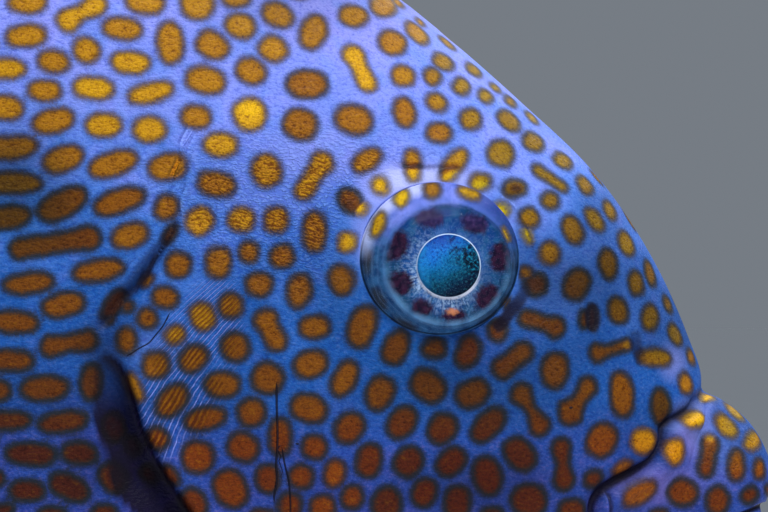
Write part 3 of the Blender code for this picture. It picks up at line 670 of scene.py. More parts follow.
JAW_SPOTS = [
    (433.2, 349.4, 26, 18, 0), (467.9, 352.8, 33, 23.5, 60), (498.5, 331, 20, 18, 75, 0.3),
    (427.5, 386, 37, 30, -40), (472.4, 393.2, 35, 27, 28), (554.4, 370.4, 35.5, 27, 78),
    (401.5, 422.2, 35, 27, 52), (441.8, 428.7, 32.5, 27.5, 50), (488, 424.7, 42, 25, 45),
    (621.5, 394.5, 46, 24, -84), (518.9, 454, 38, 28, -48), (408.2, 462, 32, 29, 50),
    (451.1, 461.8, 33, 26, 48), (487.2, 475.8, 40, 29, -75), (424.4, 492.6, 30, 25, 65),
    (457.5, 502.8, 36, 27, 88), (529, 500.5, 36, 33, 0), (492, 514, 22, 14, 0), (572, 510, 28, 22, 0),
]
BROW_SPOTS = [
    (562.8, 160.8, 21, 14, -35), (513.7, 189.4, 23, 18, 0), (584.5, 185.7, 21.5, 12.5, -55),
    (549.2, 200.8, 18.5, 17.5, 0), (609, 210.8, 20.5, 10.5, -65, 0.72), (528.8, 218.8, 21, 18, -50),
    (527.8, 235.5, 17, 6.5, -70, 1.0), (572.2, 230, 30, 20, -65), (594.3, 220.2, 26.5, 14, -55, 0.70),
    (628.8, 221.2, 22, 6, -62), (596, 178.5, 18, 5, -52), (626.1, 243.5, 26, 14, -65, 0.68),
    (549.3, 254, 24, 21, -80, 0.62), (608.1, 263.8, 30.5, 18.5, -80), (650.9, 273.3, 26, 9.5, -72),
    (576.9, 284.4, 32, 25, 65), (636.9, 282.9, 25, 15.5, -80), (536.8, 284.5, 23, 20, -80, 0.1),
    (528.3, 273, 13, 11, -60, 0.5), (618.5, 309.9, 27, 20.5, -75), (650.9, 317, 26, 18, 85, 0.56),
    (669.2, 303.8, 17, 8, -68), (676.3, 333.8, 23.5, 12, -68, 0.62), (656.1, 357.4, 34, 18, -3, 0.62),
    (685.7, 383, 22, 14, -80, 0.62), (691.5, 356.5, 16, 8, -75, 0.6), (508.5, 303, 10, 6, 70),
    (412.4, 163.9, 29, 17, 90, 0.75), (453.8, 163.9, 36, 19, 52, 0.75), (479.7, 181.6, 20, 15, -15, 0.75),
    (379.9, 184.6, 16.5, 16, 0, 1.0), (502.3, 208.6, 17, 11, -45, 1.0), (584, 319.5, 10, 19, 0, 0.1),
    (592.4, 317.6, 10, 24, 0, 0.0),
]
MOUTH_SPOTS = [
    (660.5, 406.7, 35.5, 20, -85, 0.2), (601.1, 440.3, 35, 30, 60, 0.42),
    (643.6, 441.3, 27, 25.5, -20, 0.95), (690.5, 420.1, 21, 16, 40, 1.0), (706.6, 399.3, 15, 10, 0, 0.95),
    (734.2, 411.5, 25, 9, -45, 0.75), (726, 426.2, 28, 16, -45, 0.72), (753.5, 440.3, 20, 17, 50, 0.75),
    (672.1, 452, 26, 20, 90, 1.0), (736.4, 465.4, 31, 17, 88, 0.4), (759, 469.3, 21, 12, 88, 0.45),
    (623.3, 469, 22, 15, 30, 0.75), (593.7, 479.5, 18.5, 18.5, 0), (637.2, 492.7, 38, 23, 28, 0.62),
    (682.3, 492.4, 28, 27, -30, 0.3), (717.4, 500.5, 29, 23, 88, 0.25), (749.3, 494.8, 19, 15, 45, 0.15),
    (659, 513, 16, 8, 0), (767, 490, 10, 6, 90),
]
PHOTO_SPOTS = [
    *BACK_SPOTS, *FOREHEAD_SPOTS, *SHOULDER_SPOTS, *CHEEK_SPOTS, *FLANK_SPOTS, *JAW_SPOTS, *BROW_SPOTS,
    *MOUTH_SPOTS,
]

# Spots run together: the two ends, each with its radius, the neck's radius, and for some how bright they are
JOINED_SPOTS = [
    (68.6, 20.2, 12, 94.9, 5.5, 11, 8.5, 0.86), (354.2, 57, 13, 366.5, 82, 10.5, 9, 0.9),
    (20.5, 248.5, 11, 88, 238, 12.5, 9.5), (321.8, 163.5, 12, 304, 190.4, 10, 9),
    (51.4, 346, 10.5, 87, 340.5, 10.5, 8.5), (266.1, 320.9, 12, 275.9, 340.5, 10.5, 10),
    (502.8, 367.8, 11, 522.4, 352.4, 10.5, 9.5), (527.6, 317.8, 8.5, 555, 327, 11, 8),
    (521.1, 394.7, 11.5, 538.5, 424.7, 11, 5.5), (570.5, 411, 14, 587.5, 387, 10, 8),
    (598, 353.3, 9.5, 627.3, 344.5, 5.5, 5.5), (560.9, 448.3, 10.5, 564, 478.9, 11.5, 7),
    (539.2, 171.6, 8.5, 561.2, 186.3, 7, 7), (710.1, 444, 9.5, 705.8, 468.5, 9, 8),
]

# Where the spots are brighter or darker than the rest: mostly painted highlights and painted shade in the
# folds, a few their own dark middles. Middle, length, width, tilt, how bright
SPOT_PATCHES = [
    (629, 344.5, 12, 11, 20, 0.66), (351, 241, 21, 8, 82, 1.0), (414, 173, 16, 15, 0, 1.0),
    (449.5, 175, 18, 14, 30, 1.0), (412.5, 165.6, 20, 5, 0, 0.05), (447, 168.5, 22, 5, 12, 0.15),
    (481, 184.5, 18, 7, -12, 1.0), (514.5, 190, 11, 8, 0, 0.0), (349, 205, 13, 11, -40, 0.05),
    (498.5, 323, 18, 12, 0, 0.0), (709.5, 437, 10, 14, 90, 0.9), (249, 108, 24, 18, 0, 1.0),
]

# Soft places of painted shade on the skin: middle, half length and half height, and how much light they lose
PAINTED_SHADE_PLACES = [
    (590, 282, 105, 78, 0.60), (478, 368, 165, 84, 0.51), (8, 180, 90, 84, 0.60), (310, -6, 190, 74, 0.36),
    (338, 290, 64, 90, 0.32), (560, 425, 125, 66, 0.20), (98, 345, 40, 44, 0.42), (470, 484, 120, 60, 0.46),
    (662, 330, 52, 66, 0.46), (250, 300, 60, 70, 0.08), (650, 440, 60, 70, 0.26), (560, 490, 90, 50, 0.20),
    (600, 215, 50, 50, 0.40), (545, 285, 50, 50, 0.30), (60, 215, 60, 60, 0.20), (110, 470, 70, 50, 0.30),
    (108, 362, 28, 36, 0.45), (600, 352, 70, 50, 0.20), (690, 350, 30, 40, 0.16), (524, 254, 16, 36, 0.26),
    (-130, 195, 150, 90, 0.36), (-330, 215, 200, 90, 0.20),
]
# Soft places of painted light on the skin: middle, half length and half height, and how far they go to pale
# lavender
PAINTED_LIGHT_PLACES = [
    (402, 178, 52, 20, 0.88), (440, 174, 60, 19, 0.80), (386, 188, 38, 34, 0.66), (368, 208, 26, 46, 0.42),
    (361, 242, 16, 38, 0.40), (470, 184, 40, 18, 0.50), (530, 204, 50, 52, 0.24), (318, 150, 76, 44, 0.34),
    (262, 185, 130, 66, 0.13), (673, 361, 22, 28, 0.46), (690, 428, 36, 40, 0.44), (655, 486, 60, 30, 0.22),
    (152, 350, 46, 44, 0.12), (505, 225, 18, 40, 0.24), (715, 455, 60, 60, 0.10), (100, 98, 140, 50, 0.18),
]
# The colour of the painted light, and of the painted highlight where it is strongest
PAINTED_LIGHT_COLOUR = (158, 166, 250)
PAINTED_HIGHLIGHT_COLOUR = (204, 214, 255)
# Where the skin has less red in it
TEAL_PLACES = [
    (160, 378, 90, 84, 0.75), (425, 355, 120, 84, 0.75), (340, 300, 80, 70, 0.4), (10, 205, 80, 60, 0.5),
    (5, 400, 60, 50, 0.6),
]
# Where the spots are olive and where they are reddish, instead of golden
OLIVE_PLACES = [
    (540, 160, 130, 150, 1.0), (480, 60, 110, 100, 0.8), (10, 210, 110, 110, 0.75),
    (620, 280, 90, 110, 0.8), (740, 425, 60, 60, 0.8), (668, 330, 50, 70, 0.8), (662, 405, 24, 34, 0.9),
]
RED_BELOW = (372, 470)
# Where the spots are brighter or darker than their height in the photo tells
TONE_PLACES = [
    (290, 320, 90, 110, -0.06), (305, 185, 90, 70, 0.18), (345, 485, 60, 50, 0.18),
    (535, 372, 60, 66, 0.13),
]
RED_PLACES = [(470, 485, 125, 62, 1.0), (478, 350, 60, 44, 0.9)]

# The rule for the spots elsewhere: half lengths and half widths are shares of the room that a spot has
SPOT_SEED = 11
SPOT_SPACING = 3.25 * MM
HEAD_SPACING = 2.85 * MM
SPOT_STRETCH = 1.35
SPOT_FULLNESS = 2.2
JOINED_SHARE = 0.10
PHOTO_MARGIN = 20
VIEW_REACH = 460
SPOT_REACH = 2.6 * MM
STEEPEST = 0.35
CLEAR_OF_EYE = 9.0 * MM
LAST_SPOT_X = PEDUNCLE_END_X - 2.5 * MM
FREE_LENGTHS, FREE_WIDTHS = (0.50, 0.62), (0.40, 0.48)
MOST_SPOTS = 6000
SAMPLE_ROWS, SAMPLE_COLUMNS = 5, 4
MAP_MARGIN = 0.004
# How much of the painted shade the left side gets
LEFT_PAINTED_SHADE_SHARE = 0.4


class Spots:
    """The distance in mm from each point to the nearest spot, negative within it, and its brightness."""

    def __init__(self, points):
        self.points = points
        self.order = np.argsort(points[:, 0])
        self.sorted_x = points[self.order, 0]
        self.distance = np.full(len(points), SPOT_REACH / MM)
        self.tone = np.full(len(points), 0.5)

    def near(self, middle, reach):
        first, last = np.searchsorted(self.sorted_x, (middle[0] - reach, middle[0] + reach))
        found = self.order[first:last]
        offset = self.points[found] - middle
        close = np.abs(offset).max(axis=1) < reach
        return found[close], offset[close]

    def keep(self, found, distance, tone):
        closer = distance < self.distance[found]
        self.distance[found[closer]] = distance[closer]
        self.tone[found[closer]] = tone

    def oval(self, middle, long_way, short_way, normal, tone):
        """A spot whose half axes are two vectors along the skin."""
        size = max(np.linalg.norm(long_way), np.linalg.norm(short_way))
        found, offset = self.near(middle, size + SPOT_REACH)
        if len(found) == 0:
            return
        thickness = np.linalg.norm(long_way) * 0.5 + np.linalg.norm(short_way) * 0.5
        to_shares = np.linalg.pinv(np.stack([long_way, short_way, normal * thickness], axis=1))
        shares = offset @ to_shares.T
        level = (np.abs(shares) ** SPOT_FULLNESS).sum(axis=1) ** (1 / SPOT_FULLNESS)
        away = np.maximum(np.linalg.norm(shares, axis=1), 1e-6)
        slope = np.linalg.norm(shares @ to_shares, axis=1) * level / away
        distance = (level - 1) * level / np.maximum(slope, 1e-6)
        distance = np.maximum(distance, -size)
        self.keep(found, distance / MM, tone)

    def joined(self, start, start_radius, end, end_radius, neck, tone):
        """Two round spots run together through a neck."""
        middle, span = (start + end) / 2, end - start
        reach = np.linalg.norm(span) / 2 + max(start_radius, end_radius) + SPOT_REACH
        found, offset = self.near(middle, reach)
        share = np.clip((offset + span / 2) @ span / (span @ span), 0, 1)
        away = np.linalg.norm(offset + span / 2 - share[:, None] * span, axis=1)
        ends = start_radius + (end_radius - start_radius) * share
        radius = neck + (ends - neck) * np.abs(2 * share - 1) ** 1.5
        self.keep(found, (away - radius) / MM, tone)


class Surface:
    """Finds points of the right side by the photo's pixels."""

    def __init__(self, points, normals):
        self.points, self.normals = points, normals
        self.pixels = to_pixels(points)
        in_view = np.abs(self.pixels - (IMAGE_WIDTH / 2, IMAGE_HEIGHT / 2)).max(axis=1) < VIEW_REACH
        seen = np.flatnonzero((normals[:, 1] < -0.05) & in_view)
        self.tree = kdtree.KDTree(len(seen))
        for number in seen:
            self.tree.insert((*self.pixels[number], 0), int(number))
        self.tree.balance()

    def place(self, x, y):
        """The point of the skin at a pixel, and its normal."""
        _, number, _ = self.tree.find((x, y, 0))
        normal = self.normals[number]
        shift = (np.array((x, y)) - self.pixels[number]) * PIXEL
        return self.points[number] + along_skin(shift[0], -shift[1], normal), normal


def along_skin(right, up, normal):
    """The vector along the skin that shows in side view as so far right and up."""
    facing = min(normal[1], -STEEPEST)
    return np.array([right, -(normal[0] * right + normal[2] * up) / facing, up])


def photo_tone(x, y):
    """How bright a spot is by its place: golden above, brown below, darkest on the flank and the jaws."""
    flank = smoothstep(x, 160, 60) * smoothstep(y, 150, 210) * (1 - 0.7 * bell(min(abs(y - 300) / 50, 1)))
    jaws = smoothstep(x, 315, 400) * smoothstep(x, 660, 560) * smoothstep(y, 215, 290)
    back = smoothstep(x, 210, 60) * smoothstep(y, 140, 80)
    vary = 0.05 * math.sin(0.13 * x + 0.07 * y)
    chin = smoothstep(x, 500, 560) * smoothstep(x, 660, 620) * smoothstep(y, 380, 410)
    shading = 0.25 * flank + 0.18 * jaws - 0.06 * back - 0.10 * chin
    for place_x, place_y, half_length, half_height, brighter in TONE_PLACES:
        shading -= brighter * round_place(np.array([x, y]), (place_x, place_y), (half_length, half_height))
    return float(np.clip(0.75 - 0.50 * y / IMAGE_HEIGHT + vary - shading, 0, 1))


def photo_spots(surface, spots):
    """Lays the spots that the photo shows. Returns their middles."""
    middles = []
    for x, y, length, width, tilt, *tone in PHOTO_SPOTS:
        middle, normal = surface.place(x, y)
        lean = math.radians(tilt)
        near = (CAMERA_DISTANCE + middle[1]) / CAMERA_DISTANCE * PIXEL / 2
        long_way = along_skin(math.cos(lean) * length * near, math.sin(lean) * length * near, normal)
        short_way = along_skin(-math.sin(lean) * width * near, math.cos(lean) * width * near, normal)
        spots.oval(middle, long_way, short_way, normal, tone[0] if tone else photo_tone(x, y))
        middles.append(middle)
    for x0, y0, r0, x1, y1, r1, neck, *tone in JOINED_SPOTS:
        start, end = surface.place(x0, y0)[0], surface.place(x1, y1)[0]
        bright = tone[0] if tone else photo_tone((x0 + x1) / 2, (y0 + y1) / 2)
        spots.joined(start, r0 * PIXEL, end, r1 * PIXEL, neck * PIXEL, bright)
        middles += [start, (start + end) / 2, end]
    return middles


def patched_tone(tone, pixels):
    """The spots' brightness with the patches that differ, mostly painted highlights and painted shade."""
    for x, y, length, width, tilt, target in SPOT_PATCHES:
        share = smoothstep(-oval_distance(pixels, x, y, length, width, tilt), -0.35, 0.35)
        tone = tone + (target - tone) * share
    return tone


def soft_places(pixels, places):
    """How strongly each point lies in any of the soft places, from 0 to 1."""
    kept = np.ones(len(pixels))
    for x, y, half_length, half_height, strength in places:
        kept *= 1 - strength * round_place(pixels, (x, y), (half_length, half_height))
    return 1 - kept


def warmth(pixels):
    """The spots' hue, from 0, olive, by 0.5, golden, and 1, reddish brown, to 1.5, the reddest."""
    reddish = smoothstep(pixels[:, 1], *RED_BELOW) * (1 - 0.25 * smoothstep(pixels[:, 0], 560, 700))
    olive = soft_places(pixels, OLIVE_PLACES)
    return 0.5 + 0.5 * reddish * (1 - olive) - 0.5 * olive + 0.5 * soft_places(pixels, RED_PLACES)


def spaced_points(points, taken, spacing, stretch, seed):
    """Numbers of points that lie about evenly apart, and apart from those already taken."""
    draw = np.random.default_rng(seed)
    scale = np.array([1 / stretch, 1, 1])
    scaled = points * scale
    held = [np.asarray(m) * scale for m in taken]
    chosen = []
    kept = np.array(held + [np.zeros(3)] * MOST_SPOTS)
    count = len(held)
    for number in draw.permutation(len(points)):
        gap = np.linalg.norm(kept[:count] - scaled[number], axis=1).min() if count else 1
        if gap > spacing[number]:
            kept[count] = scaled[number]
            count += 1
            chosen.append(int(number))
    return chosen


def relaxed(points, chosen, taken, stretch, rounds=5):
    """Moves the chosen points to the middles of the areas nearest to them."""
    scale = np.array([1 / stretch, 1, 1])
    scaled = points * scale
    finder = kdtree.KDTree(len(points))
    for number, point in enumerate(scaled):
        finder.insert(point, number)
    finder.balance()
    fixed = [np.asarray(m) * scale for m in taken]
    for _ in range(rounds):
        sites = [*fixed, *(scaled[number] for number in chosen)]
        tree = kdtree.KDTree(len(sites))
        for number, site in enumerate(sites):
            tree.insert(site, number)
        tree.balance()
        owner = np.array([tree.find(point)[1] for point in scaled])
        counts = np.maximum(np.bincount(owner, minlength=len(sites)), 1)
        sums = [np.bincount(owner, scaled[:, k], len(sites)) for k in range(3)]
        middles = np.stack(sums, axis=1) / counts[:, None]
        chosen = [finder.find(middle)[1] for middle in middles[len(fixed):]]
    return chosen


def free_spots(points, normals, lengthways, spots, taken, draw):
    """Lays spots by the rule on the points given, clear of those already there."""
    pixels = to_pixels(points)
    far_corner = (IMAGE_WIDTH + PHOTO_MARGIN, IMAGE_HEIGHT + PHOTO_MARGIN)
    in_photo = (pixels > -PHOTO_MARGIN).all(axis=1) & (pixels < far_corner).all(axis=1)
    open_to = ~(in_photo & (points[:, 1] < 0))
    forward = smoothstep(points[:, 0], 80 * MM, 125 * MM)
    spacing = SPOT_SPACING + (HEAD_SPACING - SPOT_SPACING) * forward
    spacing = spacing * (1 - 0.3 * smoothstep(points[:, 0], -70 * MM, -98 * MM))
    places = np.flatnonzero(open_to)
    chosen = spaced_points(points[places], taken, spacing[places], SPOT_STRETCH, SPOT_SEED)
    chosen = relaxed(points[places], chosen, taken, SPOT_STRETCH)
    for number in places[chosen]:
        room = spacing[number]
        roundness = 0.35 + 0.65 * (1 - forward[number])
        length = room * draw.uniform(*FREE_LENGTHS) * (1 + 0.22 * roundness)
        width = room * draw.uniform(*FREE_WIDTHS) * (1 - 0.12 * roundness)
        turn = math.radians(draw.normal(6, 14 + 50 * forward[number]))
        normal = normals[number]
        ahead = unit(lengthways[number])
        aside = np.cross(normal, ahead)
        long_way = ahead * math.cos(turn) + aside * math.sin(turn)
        short_way = np.cross(normal, long_way)
        low = smoothstep(points[number, 2], 170 * MM, 95 * MM)
        tone = float(np.clip(0.74 - 0.46 * low + draw.normal(0, 0.06), 0, 1))
        if draw.random() < JOINED_SHARE:
            reach = long_way * room * 0.62
            start, end = points[number] - reach, points[number] + reach
            radius = width * draw.uniform(0.85, 0.95)
            spots.joined(start, radius, end, radius * 0.92, radius * 0.7, tone)
        else:
            spots.oval(points[number], long_way * length, short_way * width, normal, tone)


# Meshes

def new_object(name, points, faces, fields=None, corner_uv=None):
    """A smooth object from points and quads or triangles, with values kept at its points."""
    mesh = bpy.data.meshes.new(name)
    faces = np.asarray(faces)
    sides = faces.shape[1]
    mesh.vertices.add(len(points))
    mesh.vertices.foreach_set("co", np.asarray(points, np.float32).ravel())
    mesh.loops.add(faces.size)
    mesh.loops.foreach_set("vertex_index", faces.astype(np.int32).ravel())
    mesh.polygons.add(len(faces))
    mesh.polygons.foreach_set("loop_start", np.arange(len(faces), dtype=np.int32) * sides)
    mesh.update(calc_edges=True)
    for field, values in (fields or {}).items():
        values = np.asarray(values, np.float32)
        kind = "FLOAT_VECTOR" if values.ndim == 2 else "FLOAT"
        made = mesh.attributes.new(field, kind, "POINT")
        made.data.foreach_set("vector" if values.ndim == 2 else "value", values.ravel())
    if corner_uv is not None:
        uv = mesh.uv_layers.new(name="OFBake")
        uv.data.foreach_set("uv", np.asarray(corner_uv, np.float32).ravel())
    mesh.shade_smooth()
    return linked(name, mesh)


def linked(name, data):
    """A new object of the scene with the given mesh, light or camera."""
    made = bpy.data.objects.new(name, data)
    bpy.context.scene.collection.objects.link(made)
    return made


def ring_quads(index):
    """The faces between the rows of a grid whose columns close in a ring."""
    beside = np.roll(index, -1, axis=1)
    return np.stack([index[:-1], beside[:-1], beside[1:], index[1:]], axis=-1).reshape(-1, 4)


def edited(mesh, change):
    """Runs a change on the mesh in its editable form."""
    shell = bmesh.new()
    shell.from_mesh(mesh)
    change(shell)
    shell.to_mesh(mesh)
    shell.free()


def weld(shell):
    """Joins points that lie on each other."""
    bmesh.ops.remove_doubles(shell, verts=shell.verts, dist=0.001 * MM)


def turn_out(shell):
    """Turns all faces outwards."""
    bmesh.ops.recalc_face_normals(shell, faces=shell.faces)


def close_ends(shell):
    """Fills the open ends, and turns all faces outwards."""
    bmesh.ops.holes_fill(shell, edges=shell.edges)
    turn_out(shell)


def finish_piece(piece, material, slot, *nodes):
    """Gives a piece its material, hangs it on the root, and hides the solids that it stands for."""
    piece.data.materials.clear()
    piece.data.materials.append(material)
    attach(piece, "root")
    if nodes:
        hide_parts(*nodes)
    return piece


def all_spots(half, normals, base, base_normals, lengthways, eye):
    """The photo's spots on the right side, and spots by the rule on all the rest."""
    spots = Spots(base)
    taken = photo_spots(Surface(half.reshape(-1, 3), normals.reshape(-1, 3)), spots)
    rows, around = len(half), len(base) // len(half)
    row, column = np.divmod(np.arange(rows * around), around)
    sample = (row % SAMPLE_ROWS == 0) & (column % SAMPLE_COLUMNS == 0)
    sample = np.flatnonzero(sample & (base[:, 0] > LAST_SPOT_X))
    sample = sample[np.linalg.norm(base[sample] - eye[0] * MIRROR, axis=1) > CLEAR_OF_EYE]
    draw = np.random.default_rng(SPOT_SEED)
    free_spots(base[sample], base_normals[sample], lengthways[sample], spots, taken, draw)
    return spots


def map_corners(half, around):
    """Where the corners of each face lie on the map: the body's length runs along it, its girth up it."""
    u, v = np.meshgrid(smoothed_share(half), np.arange(around + 1) / around, indexing="ij")
    places = np.stack([u, v], axis=-1)
    corners = np.stack([places[:-1, :-1], places[:-1, 1:], places[1:, 1:], places[1:, :-1]], axis=2)
    return MAP_MARGIN + (1 - 2 * MAP_MARGIN) * corners.reshape(-1, 2)


def skin():
    """One skin from the lips to the root of the tail fin. Returns it with the frame of the right eye."""
    half = body_grid()
    normals = grid_normals(half)
    eye = eye_frame(half, normals)
    flat_points, flat_normals = half.reshape(-1, 3), normals.reshape(-1, 3)
    relief = head_relief(flat_points)
    muscle = ripple(flat_points * (1, 1, 1.4), MUSCLE_PITCH, seed=3) * MUSCLE_HEIGHT
    push = (relief.push + muscle) * smoothstep(-flat_points[:, 1], 0, EDGE_FADE)
    shaped = seat_eye((flat_points + flat_normals * push[:, None]).reshape(half.shape), eye)

    rows, columns = half.shape[:2]
    mirrored = slice(columns - 2, 0, -1)
    around = 2 * columns - 2

    def whole(values, sign=1):
        """The right side's values with the left side's beside them."""
        both_sides = np.concatenate([values, values[:, mirrored] * sign], axis=1)
        return both_sides.reshape(rows * around, *values.shape[2:])

    points, base, base_normals = whole(shaped, MIRROR), whole(half, MIRROR), whole(normals, MIRROR)
    lengthways = whole(unit(-np.gradient(half, axis=0)), MIRROR)
    spots = all_spots(half, normals, base, base_normals, lengthways, eye)

    index = np.arange(rows * around).reshape(rows, around)
    for row in (0, rows - 1):
        index[row, columns:] = index[row, mirrored]
    quads = ring_quads(index)
    used = np.zeros(rows * around, bool)
    used[quads.ravel()] = True
    renumber = np.cumsum(used) - 1

    mapped = to_pixels(base * (1, 0, 1) - np.abs(base) * (0, 1, 0))
    fields = {"spot_mm": spots.distance[used], "spot_tone": patched_tone(spots.tone, mapped)[used]}
    # These fields carry painted light (the pale places) and painted shade (the soft dark places, the
    # grooves, the cracks and the shadow in the gill opening)
    for name, values in {
        "shade": relief.shade * smoothstep(-flat_points[:, 1], 0, 1.5 * MM), "wrinkle": relief.wrinkle,
        "crack_mm": relief.crack, "crack_width": relief.crack_width, "crease_mm": relief.crease,
        "creased": relief.creased, "gill": relief.gill, "dim": soft_places(relief.pixels, PAINTED_SHADE_PLACES),
        "pale": soft_places(relief.pixels, PAINTED_LIGHT_PLACES), "teal": soft_places(relief.pixels, TEAL_PLACES),
        "warm": warmth(relief.pixels), "striae": striae_field(relief.pixels),
        "striae_turn": striae_turn(relief.pixels),
    }.items():
        fields[name] = whole(values.reshape(rows, columns))[used]
    # The left side gets less of the painted shade
    fields["dim"] *= np.where(points[used][:, 1] > 0, LEFT_PAINTED_SHADE_SHARE, 1.0)
    return new_object("skin", points[used], renumber[quads], fields, map_corners(half, around)), eye


def smoothed_share(half):
    """How far along the map each row lies: half by its number and half by its length."""
    middle = half[:, half.shape[1] // 2]
    walked = np.concatenate([[0], np.cumsum(np.linalg.norm(np.diff(middle, axis=0), axis=1))])
    return 0.5 * walked / walked[-1] + 0.5 * np.linspace(0, 1, len(half))


def striae_turn(pixels):
    """How far across the fan of ridges each point lies, in steps of one ridge."""
    x, y = (pixels - STRIAE_TOP).T
    return (x + y * (STRIAE_SLOPE - STRIAE_SIDE_BEND * x) - STRIAE_BEND * y**2 / 2) / STRIAE_PITCH


def striae_field(pixels):
    """Where the fan of ridges shows, from 0 to 1."""
    return smoothstep(-oval_distance(pixels, *STRIAE_PLACE), -0.4, 2.2)


# The eye from its rim inwards, in the photo's pixels: middle, half width, half height, and how far it stands
# out from the socket's rim in mm. The clear dome over it is given in the same way.
EYEBALL_RINGS = [
    (439.4, 258.8, 80.9, 77.7, -2.2), (439.4, 258.8, 80.2, 77.0, -0.08), (439.4, 258.8, 79.2, 76.0, 0.12),
    (439.8, 259.1, 77.4, 74.2, 0.36), (441.4, 260.0, 73.6, 70.4, 0.78), (444.4, 262.3, 68.6, 65.6, 1.15),
    (447.4, 264.6, 63.8, 60.8, 1.42), (448.0, 265.0, 62.2, 59.4, 1.34), (448.2, 265.4, 48.0, 46.6, 1.20),
    (448.5, 265.7, 34.4, 34.0, 1.12), (448.6, 265.8, 32.0, 31.8, 1.16), (448.6, 265.8, 30.8, 30.6, 1.36),
    (448.6, 265.8, 24.0, 24.0, 1.82), (448.6, 265.8, 15.0, 15.0, 2.15), (448.6, 265.8, 7.0, 7.0, 2.28),
    (448.6, 265.8, 0.0, 0.0, 2.32),
]
CORNEA_RINGS = [
    (439.4, 258.8, 79.0, 75.8, 0.05), (440.2, 259.3, 76.4, 73.2, 0.80), (442.0, 260.4, 70.0, 66.8, 1.60),
    (444.5, 262.2, 58.0, 55.6, 2.25), (446.5, 264.0, 40.0, 39.0, 2.80), (447.5, 264.8, 20.0, 20.0, 3.08),
    (447.8, 265.0, 0.0, 0.0, 3.16),
]
EYE_TURNS = 256
PUPIL = (448.6, 265.8, 31.6)
IRIS = (448.0, 265.0, 62.6, 60.0)

# Dark blotches of the iris and spots of the ring round it: middle, length, width, tilt
IRIS_BLOTCHES = [
    (429.5, 218.2, 31, 20, -8), (474.5, 223.2, 28, 21, -20), (500.4, 257.4, 31, 24, 80),
    (486.6, 296.6, 29, 22, 50), (422.3, 308.0, 23, 18, -25), (399.4, 283.4, 29, 25, 10),
    (395.0, 245.2, 34, 27, 60), (453.6, 315.8, 26, 13, 5),
]
RING_SPOTS = [
    (401.7, 197.7, 19, 15, 65, 1.0), (431.9, 190, 18, 17, 0, 0.62), (469.1, 192.8, 24, 12, -18, 0.85),
    (377.9, 224.4, 27, 13, 68, 0.85), (505.6, 234.2, 13, 5, -65, 0.9), (507.7, 302.9, 9, 7, 40, 0.5),
]
FAINT_SPOTS = [
    (367.5, 262.2, 25, 11, 85), (379, 299, 26, 12, -60), (406, 325, 28, 9, -30), (513.4, 260, 17, 6, 85),
    (489, 318, 20, 8, 35),
]


def eye_dome(eye, rings):
    """Points of a dome row by row from its rim to its middle, and the faces between them."""
    fine, _ = smooth_line(rings, steps=9)
    turn = np.linspace(0, 2 * np.pi, EYE_TURNS, endpoint=False)
    across_px = fine[:, 0, None] + fine[:, 2, None] * np.cos(turn)
    down_px = fine[:, 1, None] - fine[:, 3, None] * np.sin(turn)
    height = np.broadcast_to(fine[:, 4, None] * MM, across_px.shape)
    points = eye_point(eye, across_px, down_px, height).reshape(-1, 3)
    pixels = np.stack([across_px, down_px], axis=-1).reshape(-1, 2)
    index = np.arange(len(points)).reshape(across_px.shape)
    return points, pixels, ring_quads(index)


def oval_distance(pixels, x, y, length, width, tilt):
    """Distance in mm to an oval's edge, negative within it."""
    lean = math.radians(tilt)
    offset = pixels - (x, y)
    along = (offset[:, 0] * math.cos(lean) - offset[:, 1] * math.sin(lean)) / (length / 2)
    aside = (offset[:, 0] * math.sin(lean) + offset[:, 1] * math.cos(lean)) / (width / 2)
    level = np.hypot(along, aside)
    slope = np.hypot(along / (length / 2), aside / (width / 2))
    return (level - 1) * level / np.maximum(slope, 1e-6) * PIXEL / MM


def nearest_oval(pixels, ovals):
    return np.min([oval_distance(pixels, *oval[:5]) for oval in ovals], axis=0)


def eyes(right_eye):
    """Both eyeballs with their clear domes."""
    ball_points, ball_pixels, ball_faces = eye_dome(right_eye, EYEBALL_RINGS)
    dome_points, _, dome_faces = eye_dome(right_eye, CORNEA_RINGS)
    from_pupil = ball_pixels - PUPIL[:2]
    from_iris = (ball_pixels - IRIS[:2]) / IRIS[2:]
    tone = np.full(len(ball_pixels), 0.5)
    nearest = np.full(len(ball_pixels), FAR_MM)
    for spot in RING_SPOTS:
        distance = oval_distance(ball_pixels, *spot[:5])
        tone = np.where(distance < nearest, spot[5], tone)
        nearest = np.minimum(nearest, distance)
    fields = {
        "from_pupil": np.linalg.norm(from_pupil, axis=1) / PUPIL[2],
        "from_iris": np.linalg.norm(from_iris, axis=1),
        "round_eye": np.stack([*unit(from_pupil).T, 0 * tone], axis=1),
        "in_eye": np.stack([*(from_pupil / PUPIL[2]).T, 0 * tone], axis=1),
        "spot_mm": nearest,
        "spot_tone": tone,
        "blotch_mm": nearest_oval(ball_pixels, IRIS_BLOTCHES),
        "faint_mm": nearest_oval(ball_pixels, FAINT_SPOTS),
        "rim": np.hypot(*((ball_pixels - EYE_PIXEL) / EYE_HALF_SIZE).T),
    }
    ball_material, dome_material = eyeball_material(), cornea_material()
    for side, word in ((1, "right"), (-1, "left")):
        for kind, points, faces, kept, material in (
            ("eyeball_", ball_points, ball_faces, fields, ball_material),
            ("cornea_", dome_points, dome_faces, None, dome_material),
        ):
            placed = points * (1, side, 1)
            piece = new_object(kind + word, placed, outwards(placed, faces), kept)
            edited(piece.data, weld)
            finish_piece(piece, material, "eye", "eye_" + word)


def outwards(points, faces):
    """The faces turned so that they look away from the middle plane on their own side."""
    corners = points[faces]
    normals = np.cross(corners[:, 2] - corners[:, 0], corners[:, 3] - corners[:, 1])
    facing = (normals[:, 1] * np.sign(points[:, 1].mean())).sum()
    return faces if facing > 0 else faces[:, ::-1]


# Fins: the same places, rays and lengths as in the solids

